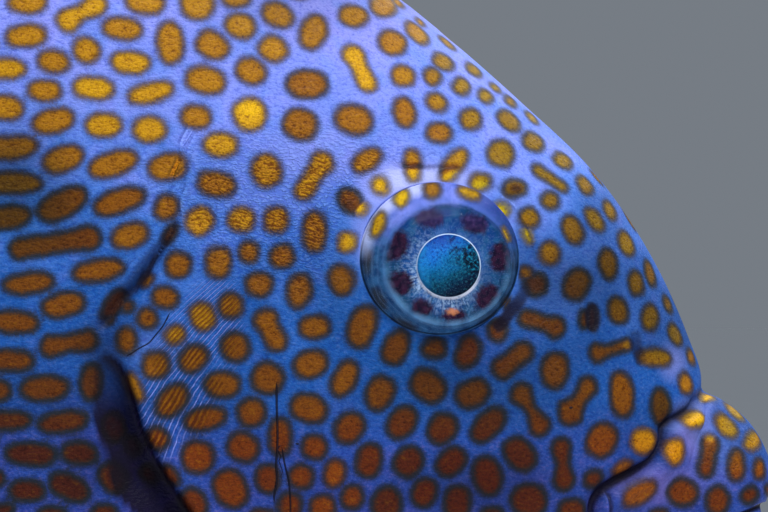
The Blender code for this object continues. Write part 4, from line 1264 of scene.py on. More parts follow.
SPINY_DORSAL = dict(
    span=(83.0, -8.6), lengths=(11, 18, 24, 28, 30, 31, 30.5, 30, 29, 28, 27, 26, 25), spread=(30, 42),
)
SOFT_DORSAL = dict(
    span=(-8.8, -56.0), lengths=(26, 29, 31, 31, 30, 28, 25.5, 22.5, 19, 15), spread=(42, 64),
)
SPINY_ANAL = dict(span=(22.0, -11.2), lengths=(11, 16, 20, 22.5, 23.5, 24, 24), spread=(38, 44))
SOFT_ANAL = dict(
    span=(-11.4, -54.5), lengths=(25, 28, 29.5, 29, 27.5, 25, 22, 18.5, 15), spread=(44, 64),
)
SPINE_HALF_WIDTH = 1.15 * MM
RAY_HALF_WIDTH = 0.62 * MM
MEMBRANE_HALF_WIDTH = 0.16 * MM
TAIL_HALF_SPREAD = 43.0 * MM
FORK_X, TAIL_TIP_X = -127.0 * MM, -163.0 * MM
TAIL_RAYS = 9
PECTORAL_ROOT = ((85.6, 107.6), (89.6, 96.4))
PECTORAL_RAYS = 15
PECTORAL_LENGTH = 46 * MM
PELVIC_ROOT_X = (75.0, 64.0)
PELVIC_ROOT_Y = 7.0 * MM
PELVIC_LENGTHS = (25, 27, 26, 24, 20)
PELVIC_HALF_WIDTHS = (1.1, 0.55, 0.55, 0.55, 0.9)
# The way the paired fins point in side view, first and last ray, and how far they lean out, in degrees
PECTORAL_ANGLES, PECTORAL_LEAN = (176, 236), 25
PELVIC_ANGLES, PELVIC_LEAN = (228, 208), 22
BURIED = 2.4 * MM
# The edges of the body behind the nape and the throat
NAPE_TO_TAIL, THROAT_TO_TAIL = BACK_LINE[120:], BELLY_LINE[72:]
FIN_SAMPLE_ROWS, FIN_SAMPLE_COLUMNS = 3, 4


def through(values, places):
    """Values given at 0, 1, 2 and so on, run smoothly through all of them."""
    values = np.asarray(values, float)
    slope = np.gradient(values, axis=0)
    low = np.minimum(places.astype(int), len(values) - 2)
    t = (places - low).reshape(-1, *[1] * (values.ndim - 1))
    return hermite(t, values[low], values[low + 1], slope[low], slope[low + 1])


def soft_ridges(aside, along):
    """Height of the rays' ridges from 0 to 1. Each ray forks twice on its way out."""
    first = 0.24 * smoothstep(along, 0.22, 0.95)
    second = 0.115 * smoothstep(along, 0.55, 1.05)
    width = 0.17 - 0.105 * along
    branches = [a * first + b * second for a in (-1, 1) for b in (-1, 1)]
    return np.max([bell(np.clip((aside - branch) / width, -1, 1)) for branch in branches], axis=0)


def ribbed_fin(name, roots, tips, bend, normal, half_widths, notch, soft, spot_size, material,
               columns=18, rows=84, buried=BURIED, seed=1):
    """A thin fin whose rays or spines stand out from its membrane on both sides."""
    roots, tips = np.asarray(roots, float), np.asarray(tips, float)
    rays = len(roots)
    places = np.linspace(0, rays - 1, (rays - 1) * columns + 1)
    root, tip = through(roots, places), through(tips, places)
    root = root - unit(tip - root) * buried
    aside = (places - np.round(places))[None, :]
    draw = np.random.default_rng(seed)
    ragged = through(draw.normal(0, 0.012, rays * 3), places * 3 * (rays - 1 / 3) / rays) if soft else 0
    reach = (1 - notch * np.sin(np.pi * np.abs(aside)) ** 1.2 + ragged)
    out = np.linspace(0, 1, rows + 1)[:, None]
    along = out * reach
    bends = through(np.broadcast_to(np.array(bend, float), (rays, 3)), places)
    middle = root + (tip - root) * along[..., None] + np.sin(np.pi * along)[..., None] * bends
    widths = through(np.broadcast_to(half_widths, rays), places)
    gap = np.linalg.norm(np.gradient(middle, axis=1), axis=-1) * columns
    if soft:
        ridge = soft_ridges(aside, np.broadcast_to(along, gap.shape))
        stands = widths * (1 - 0.55 * along) * ridge
    else:
        rod = widths * (1.05 - 0.75 * along)
        ridge = np.sqrt(np.clip(1 - (aside * gap / np.maximum(rod, 0.1 * MM)) ** 2, 0, 1))
        stands = rod * ridge
    folds = 0.05 * MM * np.sin(2 * np.pi * (aside * 3 + along * 2)) * (1 - ridge) * along
    half = (MEMBRANE_HALF_WIDTH + stands) * (1 - 0.35 * out**4)
    half = half * np.where(out > 0.985, 0.45, 1)
    normal = np.asarray(normal, float)
    front = middle + (half + folds)[..., None] * normal
    back = middle - (half - folds)[..., None] * normal

    wide = len(places)
    count = (rows + 1) * wide
    index = np.arange(count).reshape(rows + 1, wide)
    sheet = np.stack([index[:-1, :-1], index[:-1, 1:], index[1:, 1:], index[1:, :-1]], axis=-1)
    sheet = sheet.reshape(-1, 4)
    edge = np.concatenate([index[0, :-1], index[:-1, -1], index[-1, :0:-1], index[:0:-1, 0]])
    border = np.stack([np.roll(edge, -1), edge, edge + count, np.roll(edge, -1) + count], axis=-1)
    faces = np.vstack([sheet, sheet[:, ::-1] + count, border])

    flat = middle.reshape(-1, 3)
    spots = Spots(flat)
    if spot_size:
        fin_spots(flat, middle, along, spots, spot_size, normal, seed)
    share = np.broadcast_to(places / (rays - 1), along.shape)
    doubled = {
        "spot_mm": spots.distance, "spot_tone": spots.tone, "ray": ridge.ravel(), "along": along.ravel(),
        "across": (share * (rays - 1)).ravel(), "edge": np.broadcast_to(out, along.shape).ravel(),
    }
    fields = {key: np.concatenate([value, value]) for key, value in doubled.items()}
    up = np.broadcast_to(0.01 + 0.98 * out, share.shape)
    uv_front = np.stack([0.01 + 0.48 * share, up], axis=-1).reshape(-1, 2)
    uv = np.concatenate([uv_front, uv_front + (0.5, 0)])
    points = np.concatenate([front.reshape(-1, 3), back.reshape(-1, 3)])
    piece = new_object("dressed_" + name, points, faces, fields, uv[faces.ravel()])
    edited(piece.data, turn_out)
    return finish_piece(piece, material, "fin", name)


def fin_spots(flat, middle, along, spots, spot_size, normal, seed):
    """Spots along the membrane, longer along the rays."""
    rows, wide = along.shape
    outward = unit(np.gradient(middle, axis=0)).reshape(-1, 3)
    row, column = np.divmod(np.arange(rows * wide), wide)
    sample = np.flatnonzero((row % FIN_SAMPLE_ROWS == 0) & (column % FIN_SAMPLE_COLUMNS == 0))
    spacing = spot_size * (1.75 - 0.45 * along.ravel())
    chosen = spaced_points(flat[sample], [], spacing[sample], 1.0, seed)
    chosen = relaxed(flat[sample], chosen, [], 1.0, rounds=3)
    draw = np.random.default_rng(seed)
    for number in sample[chosen]:
        if along.ravel()[number] > 0.965:
            continue
        room = spacing[number] / 1.75
        turn = math.radians(draw.normal(0, 14))
        ahead = outward[number]
        aside = np.cross(normal, ahead)
        long_way = ahead * math.cos(turn) + aside * math.sin(turn)
        short_way = np.cross(normal, long_way)
        tone = float(np.clip(draw.normal(0.45, 0.08), 0, 1))
        length, width = room * draw.uniform(0.56, 0.72), room * draw.uniform(0.42, 0.52)
        spots.oval(flat[number], long_way * length, short_way * width, normal, tone)


def edge_fin(name, line, form, upwards, soft, material, seed):
    """A fin on the back or belly edge, its rays leaning back from the edge's own normal by the spread."""
    low, high = form["span"]
    xs = np.linspace(low, high, len(form["lengths"])) * MM
    order = np.argsort(line[:, 0])
    zs = np.interp(xs, line[order, 0], line[order, 1])
    slope = np.interp(xs, line[order, 0], np.gradient(line[order, 1], line[order, 0]))
    outward = unit(np.stack([-slope, 0 * xs, 0 * xs + 1], axis=1) * upwards)
    roots = np.stack([xs, 0 * xs, zs], axis=1)
    lean = np.radians(np.linspace(*form["spread"], len(xs)))[:, None]
    tailwards = np.stack([-outward[:, 2], 0 * xs, outward[:, 0]], axis=1) * upwards
    lengths = np.array(form["lengths"])[:, None]
    tips = roots + (outward * np.cos(lean) + tailwards * np.sin(lean)) * lengths * MM
    width, notch = (RAY_HALF_WIDTH, 0.035) if soft else (SPINE_HALF_WIDTH, 0.15)
    bend = (0.6 * MM, 0, 0) if soft else (0, 0, 0)
    ribbed_fin(name, roots, tips, bend, (0, 1, 0), width, notch, soft, 2.7 * MM, material, seed=seed)


def tail_lobe(name, side, material):
    """Half of the forked tail fin: its rays fan from the end of the body to the lobe's trailing edge."""
    share = np.linspace(0, 1, TAIL_RAYS)
    root_half_height, middle_gap = 9.6 * MM, 0.02 * MM
    root_z = BODY_AXIS_Z + side * (middle_gap + (root_half_height - middle_gap) * share)
    roots = np.stack([0 * share + PEDUNCLE_END_X + 1.0 * MM, 0 * share, root_z], axis=1)
    tip_x = FORK_X + (TAIL_TIP_X - FORK_X) * share**1.25
    tip_z = BODY_AXIS_Z + side * (middle_gap + (TAIL_HALF_SPREAD - middle_gap) * share**0.92)
    tips = np.stack([tip_x, 0 * share, tip_z], axis=1)
    widths = np.linspace(0.6, 1.5, TAIL_RAYS) * MM
    bend = np.stack([-1.5 * MM * share, 0 * share, side * 3.0 * MM * share], axis=1)
    ribbed_fin(
        name, roots, tips, bend, (0, 1, 0), widths, 0.02, True, 2.6 * MM, material,
        rows=110, seed=31 + side,
    )


def pectoral_fin(name, side, material):
    """A rounded fan that leans out from the flank behind the gill cover."""
    (top_x, top_z), (low_x, low_z) = PECTORAL_ROOT
    share = np.linspace(0, 1, PECTORAL_RAYS)
    x = (top_x + (low_x - top_x) * share) * MM
    z = (top_z + (low_z - top_z) * share) * MM
    y = np.array([flank_y(a, b) for a, b in zip(x, z)])
    roots = np.stack([x, side * y, z], axis=1)
    angle = np.radians(np.linspace(*PECTORAL_ANGLES, PECTORAL_RAYS))
    lengths = PECTORAL_LENGTH * (1 - 0.55 * np.abs(share - 0.22) ** 1.2)
    outward = np.radians(PECTORAL_LEAN)
    ahead, aside = np.cos(angle) * np.cos(outward), np.full(PECTORAL_RAYS, side * np.sin(outward))
    direction = unit(np.stack([ahead, aside, np.sin(angle)], axis=1))
    tips = roots + direction * lengths[:, None]
    normal = (np.sin(outward), side * np.cos(outward), 0.0)
    ribbed_fin(
        name, roots, tips, (0, side * 1.5 * MM, 0), normal, 0.42 * MM, 0.02, True, 0, material,
        columns=14, rows=72, buried=1.6 * MM, seed=5,
    )


def pelvic_fin(name, side, material):
    """A spine at each side and three soft rays between them, hanging back and out from the belly."""
    count = len(PELVIC_LENGTHS)
    x = np.linspace(*PELVIC_ROOT_X, count) * MM
    y = np.linspace(PELVIC_ROOT_Y, 0.6 * PELVIC_ROOT_Y, count)
    z = np.array([belly_z(a, b) for a, b in zip(x, y)])
    roots = np.stack([x, side * y, z], axis=1)
    angle = np.radians(np.linspace(*PELVIC_ANGLES, count))
    outward = np.radians(PELVIC_LEAN)
    aside = side * np.sin(-angle) * np.sin(outward)
    direction = unit(np.stack([np.cos(angle), aside, np.sin(angle)], axis=1))
    tips = roots + direction * np.array(PELVIC_LENGTHS)[:, None] * MM
    normal = (0.0, side * np.cos(outward), np.sin(outward))
    widths = np.array(PELVIC_HALF_WIDTHS) * MM
    ribbed_fin(name, roots, tips, (0, 0, 0), normal, widths, 0.06, False, 2.2 * MM, material, seed=7)


def fins():
    """All the fins. The pectoral fins are clear, the others spotted."""
    spotted_fin = fin_material("rabbitfish fin", spotted_membrane=True)
    clear_fin = fin_material("rabbitfish pectoral fin", spotted_membrane=False)
    edge_fin("dorsal_fin_spines", NAPE_TO_TAIL, SPINY_DORSAL, 1, False, spotted_fin, 21)
    edge_fin("dorsal_fin_rays", NAPE_TO_TAIL, SOFT_DORSAL, 1, True, spotted_fin, 22)
    edge_fin("anal_fin_spines", THROAT_TO_TAIL, SPINY_ANAL, -1, False, spotted_fin, 23)
    edge_fin("anal_fin_rays", THROAT_TO_TAIL, SOFT_ANAL, -1, True, spotted_fin, 24)
    tail_lobe("tail_fin_upper", 1, spotted_fin)
    tail_lobe("tail_fin_lower", -1, spotted_fin)
    for side, word in ((-1, "right"), (1, "left")):
        pectoral_fin("pectoral_fin_" + word, side, clear_fin)
        pelvic_fin("pelvic_fin_" + word, side, spotted_fin)


# Stand

BASE_SIZE = (176 * MM, 92 * MM, 12 * MM)
BASE_MIDDLE_X = 54 * MM
BASE_BEVEL = 2 * MM
ROD_RADIUS = 3 * MM
ROD_X = {"front": 98 * MM, "rear": 33 * MM}
SEAT_DEPTH = 5 * MM
COLLAR_PROFILE = [
    (0.0, 3.0), (0.0, 5.6), (0.5, 6.2), (1.7, 6.2), (2.3, 5.6), (2.5, 4.0), (3.4, 3.2), (4.4, 3.0),
]


def lathe(name, x, profile, sides=72):
    """A turned piece upright at x, from heights and radii."""
    profile = np.asarray(profile)
    turn = np.linspace(0, 2 * np.pi, sides, endpoint=False)
    radius, height = profile[:, 1, None], np.broadcast_to(profile[:, 0, None], (len(profile), sides))
    points = np.stack([x + radius * np.cos(turn), radius * np.sin(turn), height], axis=-1)
    index = np.arange(points[..., 0].size).reshape(len(profile), sides)
    piece = new_object(name, points.reshape(-1, 3), ring_quads(index))
    edited(piece.data, close_ends)
    piece.data.set_sharp_from_angle(angle=math.radians(40))
    return piece


def stand():
    """The wooden base and the two steel rods, each in a small turned collar."""
    box = bmesh.new()
    bmesh.ops.create_cube(box, size=1)
    bmesh.ops.scale(box, vec=BASE_SIZE, verts=box.verts)
    bmesh.ops.translate(box, vec=(BASE_MIDDLE_X, 0, BASE_SIZE[2] / 2), verts=box.verts)
    top_edges = [e for e in box.edges if min(v.co.z for v in e.verts) > BASE_SIZE[2] / 2]
    upright = [e for e in box.edges if abs(e.verts[0].co.z - e.verts[1].co.z) > BASE_SIZE[2] / 2]
    rounded = top_edges + upright
    bmesh.ops.bevel(box, geom=rounded, offset=BASE_BEVEL, segments=8, profile=0.5, affect="EDGES")
    mesh = bpy.data.meshes.new("stand_base_dressed")
    box.to_mesh(mesh)
    box.free()
    mesh.shade_smooth()
    mesh.set_sharp_from_angle(angle=math.radians(35))
    finish_piece(linked("stand_base_dressed", mesh), wood_material(), "wood", "stand_base")
    steel = steel_material()
    for place, x in ROD_X.items():
        top = float(np.interp(x, BELLY_EDGE[::-1, 0], BELLY_EDGE[::-1, 1])) + SEAT_DEPTH
        profile = [(BASE_SIZE[2] - SEAT_DEPTH, ROD_RADIUS)]
        profile += [(BASE_SIZE[2] + height * MM, radius * MM) for height, radius in COLLAR_PROFILE]
        profile += [(height, ROD_RADIUS) for height in np.linspace(BASE_SIZE[2] + 6 * MM, top, 12)]
        rod = lathe("stand_rod_dressed_" + place, x, profile)
        finish_piece(rod, steel, "steel", "stand_rod_" + place)


# Materials

class Shading:
    """Builds one material's nodes."""

    def __init__(self, name):
        self.material = bpy.data.materials.new(name)
        self.material.use_nodes = True
        tree = self.material.node_tree
        self.nodes, self.links = tree.nodes, tree.links
        self.surface = self.nodes["Principled BSDF"]
        self.output = self.nodes["Material Output"]
        self.place = self.nodes.new("ShaderNodeTexCoord").outputs["Object"]

    def put(self, value, socket):
        if isinstance(value, bpy.types.NodeSocket):
            self.links.new(value, socket)
        elif socket.type == "RGBA":
            socket.default_value = (*value, 1) if len(value) == 3 else value
        else:
            socket.default_value = value

    def node(self, kind, settings=None, **inputs):
        made = self.nodes.new(kind)
        for name, value in (settings or {}).items():
            setattr(made, name, value)
        for name, value in inputs.items():
            self.put(value, made.inputs[name.replace("_", " ")])
        return made

    def math(self, operation, a, b=0.0, clamp=False):
        made = self.node("ShaderNodeMath", dict(operation=operation, use_clamp=clamp))
        self.put(a, made.inputs[0])
        self.put(b, made.inputs[1])
        return made.outputs[0]

    def times(self, *values):
        product = values[0]
        for value in values[1:]:
            product = self.math("MULTIPLY", product, value)
        return product

    def plus(self, *values):
        total = values[0]
        for value in values[1:]:
            total = self.math("ADD", total, value)
        return total

    def less(self, a, b):
        return self.math("SUBTRACT", a, b)

    def swing(self, grain, size):
        """A grain of 0 to 1 as a swing about nothing, of the given size from end to end."""
        return self.times(self.less(grain, 0.5), size)

    def mix(self, share, a, b, blend="MIX"):
        made = self.node("ShaderNodeMix", dict(data_type="RGBA", blend_type=blend))
        self.put(share, made.inputs[0])
        self.put(a, made.inputs[6])
        self.put(b, made.inputs[7])
        return made.outputs[2]

    def tinted(self, share, base, tint):
        """The base, multiplied with a tint by its share."""
        return self.mix(share, base, self.mix(1.0, base, tint, "MULTIPLY"))

    def lifted(self, share, base, light):
        """The base, with a light screened over it by its share."""
        return self.mix(share, base, self.mix(1.0, base, light, "SCREEN"))

    def between(self, value, low, high, to_low=0.0, to_high=1.0):
        """Runs smoothly from one number to another as the value goes from low to high."""
        made = self.node("ShaderNodeMapRange", dict(interpolation_type="SMOOTHSTEP"))
        for socket, number in zip(made.inputs[:5], (value, low, high, to_low, to_high)):
            self.put(number, socket)
        return made.outputs[0]

    def band(self, value, start, full, falling, end):
        """0 up to the start, 1 from full to falling, and 0 again from the end."""
        return self.times(self.between(value, start, full), self.between(value, end, falling))

    def straight(self, value, low, high):
        """The value's share of the way from low to high."""
        share = self.between(value, low, high)
        share.node.interpolation_type = "LINEAR"
        return share

    def field(self, name, output="Fac"):
        """A value kept at the mesh's points."""
        return self.node("ShaderNodeAttribute", dict(attribute_name=name)).outputs[output]

    def parts(self, vector):
        return self.node("ShaderNodeSeparateXYZ", None, Vector=vector).outputs

    def moved(self, place, shift, size):
        """A place moved by a vector times a size."""
        scaled = self.node("ShaderNodeVectorMath", dict(operation="SCALE"), Vector=shift, Scale=size)
        made = self.node("ShaderNodeVectorMath", dict(operation="ADD"))
        self.put(scaled.outputs[0], made.inputs[0])
        self.put(place, made.inputs[1])
        return made.outputs[0]

    def clouds(self, place, scale, detail, output="Fac", **inputs):
        made = self.node("ShaderNodeTexNoise", None, Vector=place, Scale=scale, Detail=detail, **inputs)
        return made.outputs[output]

    def noise(self, size_mm, detail=2.0, stretch=(1, 1, 1), turn=(0, 0, 0), roughness=0.5):
        """A grain from 0 to 1, its features about as large as given and stretched along the axes."""
        scale = tuple(1 / (size_mm * MM * s) for s in stretch)
        mapping = self.node("ShaderNodeMapping", None, Vector=self.place, Rotation=turn, Scale=scale)
        return self.clouds(mapping.outputs[0], 1.0, detail, Roughness=roughness)

    def ramp(self, value, *stops):
        """A colour by value, from stops of position and colour."""
        made = self.node("ShaderNodeValToRGB", None, Fac=value)
        points = made.color_ramp.elements
        while len(points) < len(stops):
            points.new(0.5)
        for point, (position, colour) in zip(points, stops):
            point.position = position
            point.color = (*colour, 1)
        return made.outputs[0]

    def bump(self, height, distance, normal=None, strength=1.0):
        made = self.node("ShaderNodeBump", None, Height=height, Distance=distance, Strength=strength)
        if normal is not None:
            self.links.new(normal, made.inputs["Normal"])
        return made.outputs[0]

    def done(self, **inputs):
        for name, value in inputs.items():
            self.put(value, self.surface.inputs[name.replace("_", " ")])
        return self.material


def srgb(red, green, blue):
    """A colour as seen on screen, from 0 to 255, in linear light."""
    seen = np.array([red, green, blue]) / 255
    linear = np.where(seen <= 0.04045, seen / 12.92, ((seen + 0.055) / 1.055) ** 2.4)
    return tuple(float(x) for x in linear)


# Colours by level: the spots' by how bright they are, the ground's from the belly to the back
SPOT_COLOURS = (
    (0.0, srgb(72, 34, 16)), (0.2, srgb(102, 52, 8)), (0.4, srgb(130, 74, 6)), (0.6, srgb(156, 99, 12)),
    (0.8, srgb(184, 129, 14)), (1.0, srgb(230, 178, 10)),
)
RIM_COLOUR = srgb(16, 34, 34)
RIM_REACH = 0.74
OLIVE_TINT, RED_TINT, REDDEST_TINT = (0.70, 1.04, 0.9), (0.94, 0.58, 0.8), (1.15, 0.82, 0.8)
SKIN_COLOURS = (
    (0.0, srgb(30, 62, 138)), (0.15, srgb(27, 74, 152)), (0.34, srgb(24, 87, 170)),
    (0.6, srgb(68, 118, 210)), (0.85, srgb(122, 141, 236)), (1.0, srgb(142, 150, 244)),
)


def spotted(s, ground, streak, sharpness=1.0, warm=0.5):
    """The ground with spots over it, golden brown, with painted highlights on the crests of the folds and
    painted shade in their furrows, and a dark ragged rim that fades into the ground.
    """
    spot, tone = s.field("spot_mm"), s.field("spot_tone")
    ragged = s.swing(s.noise(0.15, 4.0, roughness=0.7), 0.62)
    wavy = s.swing(s.noise(1.4, 1.0), 0.40)
    edge = s.times(s.plus(spot, ragged, wavy), sharpness)
    golden = s.ramp(tone, *SPOT_COLOURS)
    golden = s.tinted(s.between(warm, 0.5, 0.0), golden, OLIVE_TINT)
    golden = s.tinted(s.between(warm, 0.5, 1.0), golden, RED_TINT)
    golden = s.tinted(s.between(warm, 1.0, 1.5), golden, REDDEST_TINT)
    # Painted highlights on the crests of the folds and painted shade in their furrows
    crests = s.times(s.between(streak, 0.50, 0.80), s.between(tone, 0.15, 0.8, 0.3, 0.9))
    golden = s.lifted(crests, golden, srgb(120, 86, 0))
    golden = s.tinted(s.between(streak, 0.48, 0.24, 0.0, 0.9), golden, srgb(150, 116, 100))
    grain = s.noise(0.24, 3.0, roughness=0.7)
    golden = s.tinted(s.between(grain, 0.45, 0.66, 0.0, 0.6), golden, srgb(176, 160, 130))
    colour = s.mix(s.between(edge, 0.42, -0.36), ground, golden)
    rim = s.band(edge, -RIM_REACH, -0.03, -0.03, RIM_REACH)
    return s.mix(s.times(rim, s.between(tone, 0.75, 0.3, 0.68, 0.84)), colour, RIM_COLOUR)


def skin_ground(s):
    """The blue violet between the spots, paler and more violet towards the back, partly its own colour and
    partly painted light from above, with painted shade on the shoulder behind the head.
    """
    x, _, z = s.parts(s.place)
    patches = s.noise(7.5, 2.0)
    # Painted shade low on the shoulder behind the head
    behind = s.times(s.between(x, 124 * MM, 80 * MM), s.between(z, 172 * MM, 124 * MM))
    # Paler towards the back: partly the skin's own colour, partly painted light from above
    level = s.plus(s.between(z, 100 * MM, 176 * MM), s.swing(patches, 0.5))
    level = s.less(level, s.times(behind, 0.14))
    ground = s.ramp(level, *SKIN_COLOURS)
    ground = s.mix(s.between(x, -80 * MM, -98 * MM, 0.0, 0.85), ground, srgb(86, 98, 196))
    ground = s.tinted(s.field("teal"), ground, srgb(70, 255, 255))
    azure = s.between(s.noise(3.0, 3.0), 0.46, 0.72)
    ground = s.tinted(s.times(azure, 0.45), ground, srgb(180, 245, 250))
    violet = s.between(s.noise(2.4, 3.0, turn=(0.7, 0.3, 0.2)), 0.5, 0.75)
    violet = s.times(violet, s.between(level, 0.30, 0.75, 0.12, 0.42))
    ground = s.mix(violet, ground, s.mix(0.4, ground, srgb(150, 140, 250)))
    return ground


def skin_wrinkles(s):
    """The height of the fine grain and of the small folds, from about 0 to 1."""
    x, _, z = s.parts(s.place)
    bent = s.swing(s.noise(1.5, 3.0, roughness=0.6), 30.0)
    leaning = s.plus(z, s.times(x, 0.18))
    folds = s.math("SINE", s.plus(s.times(leaning, 2 * math.pi / (0.42 * MM)), bent))
    grain = s.noise(0.30, 3.0, (1.8, 1, 1), (0, 0.14, 0), roughness=0.6)
    folded = s.times(s.less(s.field("wrinkle"), 0.28), 0.31)
    furrows = s.between(furrow_distance(s), 0.03, 0.24, -0.85, 0.45)
    folds = s.plus(s.times(folds, 0.6), furrows)
    return s.plus(grain, s.times(folds, folded))


def shaded_ground(s, ground, wrinkles):
    """The ground with flecks, painted shade in the furrows and painted highlights on the crests of its small
    folds, its places of painted light and its reddish places.
    """
    flecks = s.noise(0.24, 3.0, (1.3, 1, 1), roughness=0.7)
    ground = s.tinted(s.between(flecks, 0.30, 0.5, 0.40, 0.0), ground, srgb(150, 170, 215))
    ground = s.lifted(s.between(flecks, 0.5, 0.72, 0.0, 0.34), ground, srgb(62, 84, 120))
    # Painted shade in the furrows of the small folds and painted highlights on their crests
    ground = s.tinted(s.between(wrinkles, 0.5, 0.30, 0.0, 0.5), ground, srgb(140, 158, 215))
    ground = s.lifted(s.between(wrinkles, 0.5, 0.76, 0.0, 0.38), ground, srgb(84, 84, 116))
    # Places of painted light, with a painted highlight where they are strongest
    ground = s.mix(s.field("pale"), ground, srgb(*PAINTED_LIGHT_COLOUR))
    ground = s.mix(s.between(s.field("pale"), 0.55, 1.0, 0.0, 0.50), ground, srgb(*PAINTED_HIGHLIGHT_COLOUR))
    ground = s.tinted(s.between(s.field("warm"), 0.6, 1.0), ground, (1.8, 1.0, 1.14))
    return ground


def striae_waves(s):
    """The fan of fine ridges: where it shows, its waves from -1 to 1, and how high its ridges stand."""
    fan = s.times(s.field("striae"), s.between(s.noise(4.0, 2.0), 0.30, 0.46, 0.35, 1.0))
    swayed = s.swing(s.noise(1.6, 2.0), 5.0)
    waves = s.math("SINE", s.plus(s.times(s.field("striae_turn"), 2 * math.pi), swayed))
    ridges = s.times(s.between(waves, 0.30, 1.0), s.between(s.noise(1.3, 3.0), 0.32, 0.54, 0.25, 1.0))
    return fan, waves, s.times(ridges, fan)


def creases(s, colour):
    """The colour with fine creases, painted light on one side and painted shade on the other. Also returns
    their height.
    """
    crease_mm = s.field("crease_mm")
    creased = s.times(s.field("creased"), s.between(s.noise(1.1, 2.0), 0.34, 0.56, 0.25, 1.0))
    crest = s.times(s.band(crease_mm, -0.50, -0.14, -0.10, 0.04), creased)
    furrow = s.times(s.band(crease_mm, -0.10, 0.08, 0.10, 0.38), creased)
    # Painted light on the crest and painted shade in the furrow
    colour = s.tinted(s.times(crest, 0.9), colour, (1.75, 1.6, 1.35))
    colour = s.tinted(s.times(furrow, 0.5), colour, srgb(110, 110, 160))
    return colour, s.less(crest, furrow)


def cracks(s):
    """How deep a point lies in a crack, from 0 to 1."""
    width = s.field("crack_width")
    share = s.math("DIVIDE", s.math("ABSOLUTE", s.field("crack_mm")), s.math("MAXIMUM", width, 0.002))
    within = s.math("SUBTRACT", 1.0, share, clamp=True)
    return s.between(s.times(within, s.between(width, 0.01, 0.09)), 0.0, 0.6)


def hollows(s, colour):
    """The colour with the painted shadow inside the gill opening and the painted shade in the folds."""
    within = s.mix(1.0, colour, srgb(96, 56, 92), "MULTIPLY")
    within = s.mix(s.between(s.noise(2.2, 3.0), 0.30, 0.6, 0.1, 0.6), within, srgb(12, 5, 26))
    # Painted shadow of the gill cover inside the opening
    colour = s.mix(s.field("gill"), colour, within)
    return s.mix(s.field("shade"), colour, srgb(14, 6, 24))


def skin_material():
    """Moist skin with spots, small folds, creases and cracks, and the fan of ridges on the gill cover."""
    s = Shading("rabbitfish skin")
    wrinkles = skin_wrinkles(s)
    ground = shaded_ground(s, skin_ground(s), wrinkles)
    fan, waves, ridges = striae_waves(s)
    # Painted highlights on the ridges of the fan
    ground = s.mix(s.times(ridges, 0.8), ground, srgb(142, 158, 250))
    streak = s.node("ShaderNodeMix", dict(data_type="FLOAT"))
    for number, value in ((0, fan), (2, wrinkles), (3, s.between(waves, -0.6, 1.0, 0.30, 0.80))):
        s.put(value, streak.inputs[number])
    colour = spotted(s, ground, streak.outputs[0], warm=s.field("warm"))
    # Painted shade in the soft dark places
    colour = s.tinted(s.field("dim"), colour, srgb(24, 24, 24))
    colour, crease_height = creases(s, colour)
    crack = cracks(s)
    # Cracks and pores are darkened with painted shade
    colour = hollows(s, s.mix(s.times(crack, 0.86), colour, srgb(12, 12, 30)))

    scales = s.node(
        "ShaderNodeTexVoronoi", dict(feature="SMOOTH_F1"), Vector=s.place, Scale=1 / (0.85 * MM)
    )
    normal = None
    for height, distance in (
        (s.times(s.between(wrinkles, 0.34, 0.68), s.field("wrinkle")), 0.12),
        (scales.outputs["Distance"], 0.03), (s.noise(0.16, 2.0), 0.025), (ridges, 0.16),
        (s.less(1.0, crack), 0.2), (crease_height, 0.03),
    ):
        normal = s.bump(height, distance * MM, normal)
    roughness = s.between(s.noise(1.2, 3.0), 0.3, 0.7, 0.44, 0.58)
    return s.done(Base_Color=colour, Roughness=roughness, Normal=normal, Specular_IOR_Level=0.13)


def furrow_distance(s):
    """How far a point lies from the furrows between the skin's small flat folds, which run lengthways."""
    drift = s.clouds(s.place, 1 / (1.1 * MM), 2.0, "Color")
    moved = s.moved(s.place, drift, 0.55 * MM)
    scale = tuple(1 / (0.52 * MM * stretch) for stretch in (1.8, 1, 1))
    mapping = s.node("ShaderNodeMapping", None, Vector=moved, Rotation=(0, 0.12, 0), Scale=scale)
    return s.node(
        "ShaderNodeTexVoronoi", dict(feature="DISTANCE_TO_EDGE"), Vector=mapping.outputs[0], Scale=1.0
    ).outputs["Distance"]


def fin_material(name, spotted_membrane):
    """Membrane and rays of the fins, with the skin's spots where there are any."""
    s = Shading(name)
    along, ray = s.field("along"), s.field("ray")
    patches = s.noise(6.0, 2.0)
    ground = s.mix(patches, srgb(74, 88, 186), srgb(98, 108, 206))
    outer = s.mix(patches, srgb(96, 104, 158), srgb(120, 124, 172))
    ground = s.mix(s.between(along, 0.25, 0.95), ground, outer)
    if not spotted_membrane:
        ground = s.mix(s.between(along, 0.05, 0.5), ground, srgb(100, 106, 146))
    ground = s.mix(s.times(s.between(ray, 0.2, 0.9), 0.5), ground, s.mix(0.5, ground, srgb(190, 184, 190)))
    segments = s.times(s.math("SINE", s.times(along, 210.0)), s.between(ray, 0.2, 0.8))
    segments = s.times(segments, s.between(along, 0.15, 0.3))
    ground = s.tinted(s.between(segments, 0.2, 1.0, 0.0, 0.3), ground, srgb(150, 140, 150))
    flecks = s.noise(0.36, 3.0, roughness=0.65)
    ground = s.mix(s.between(flecks, 0.36, 0.7, 0.3, 0.0), ground, srgb(40, 50, 110))
    colour = spotted(s, ground, s.noise(0.5, 3.0), 1.7)
    margin = s.between(s.field("edge"), 0.95, 1.0)
    colour = s.mix(s.times(margin, 0.6), colour, srgb(40, 38, 62))
    normal = s.bump(segments, 0.05 * MM)
    normal = s.bump(s.noise(0.5, 3.0, roughness=0.6), 0.08 * MM, normal)
    return s.done(Base_Color=colour, Roughness=0.42, Normal=normal, Coat_Weight=0.2, Coat_Roughness=0.25)


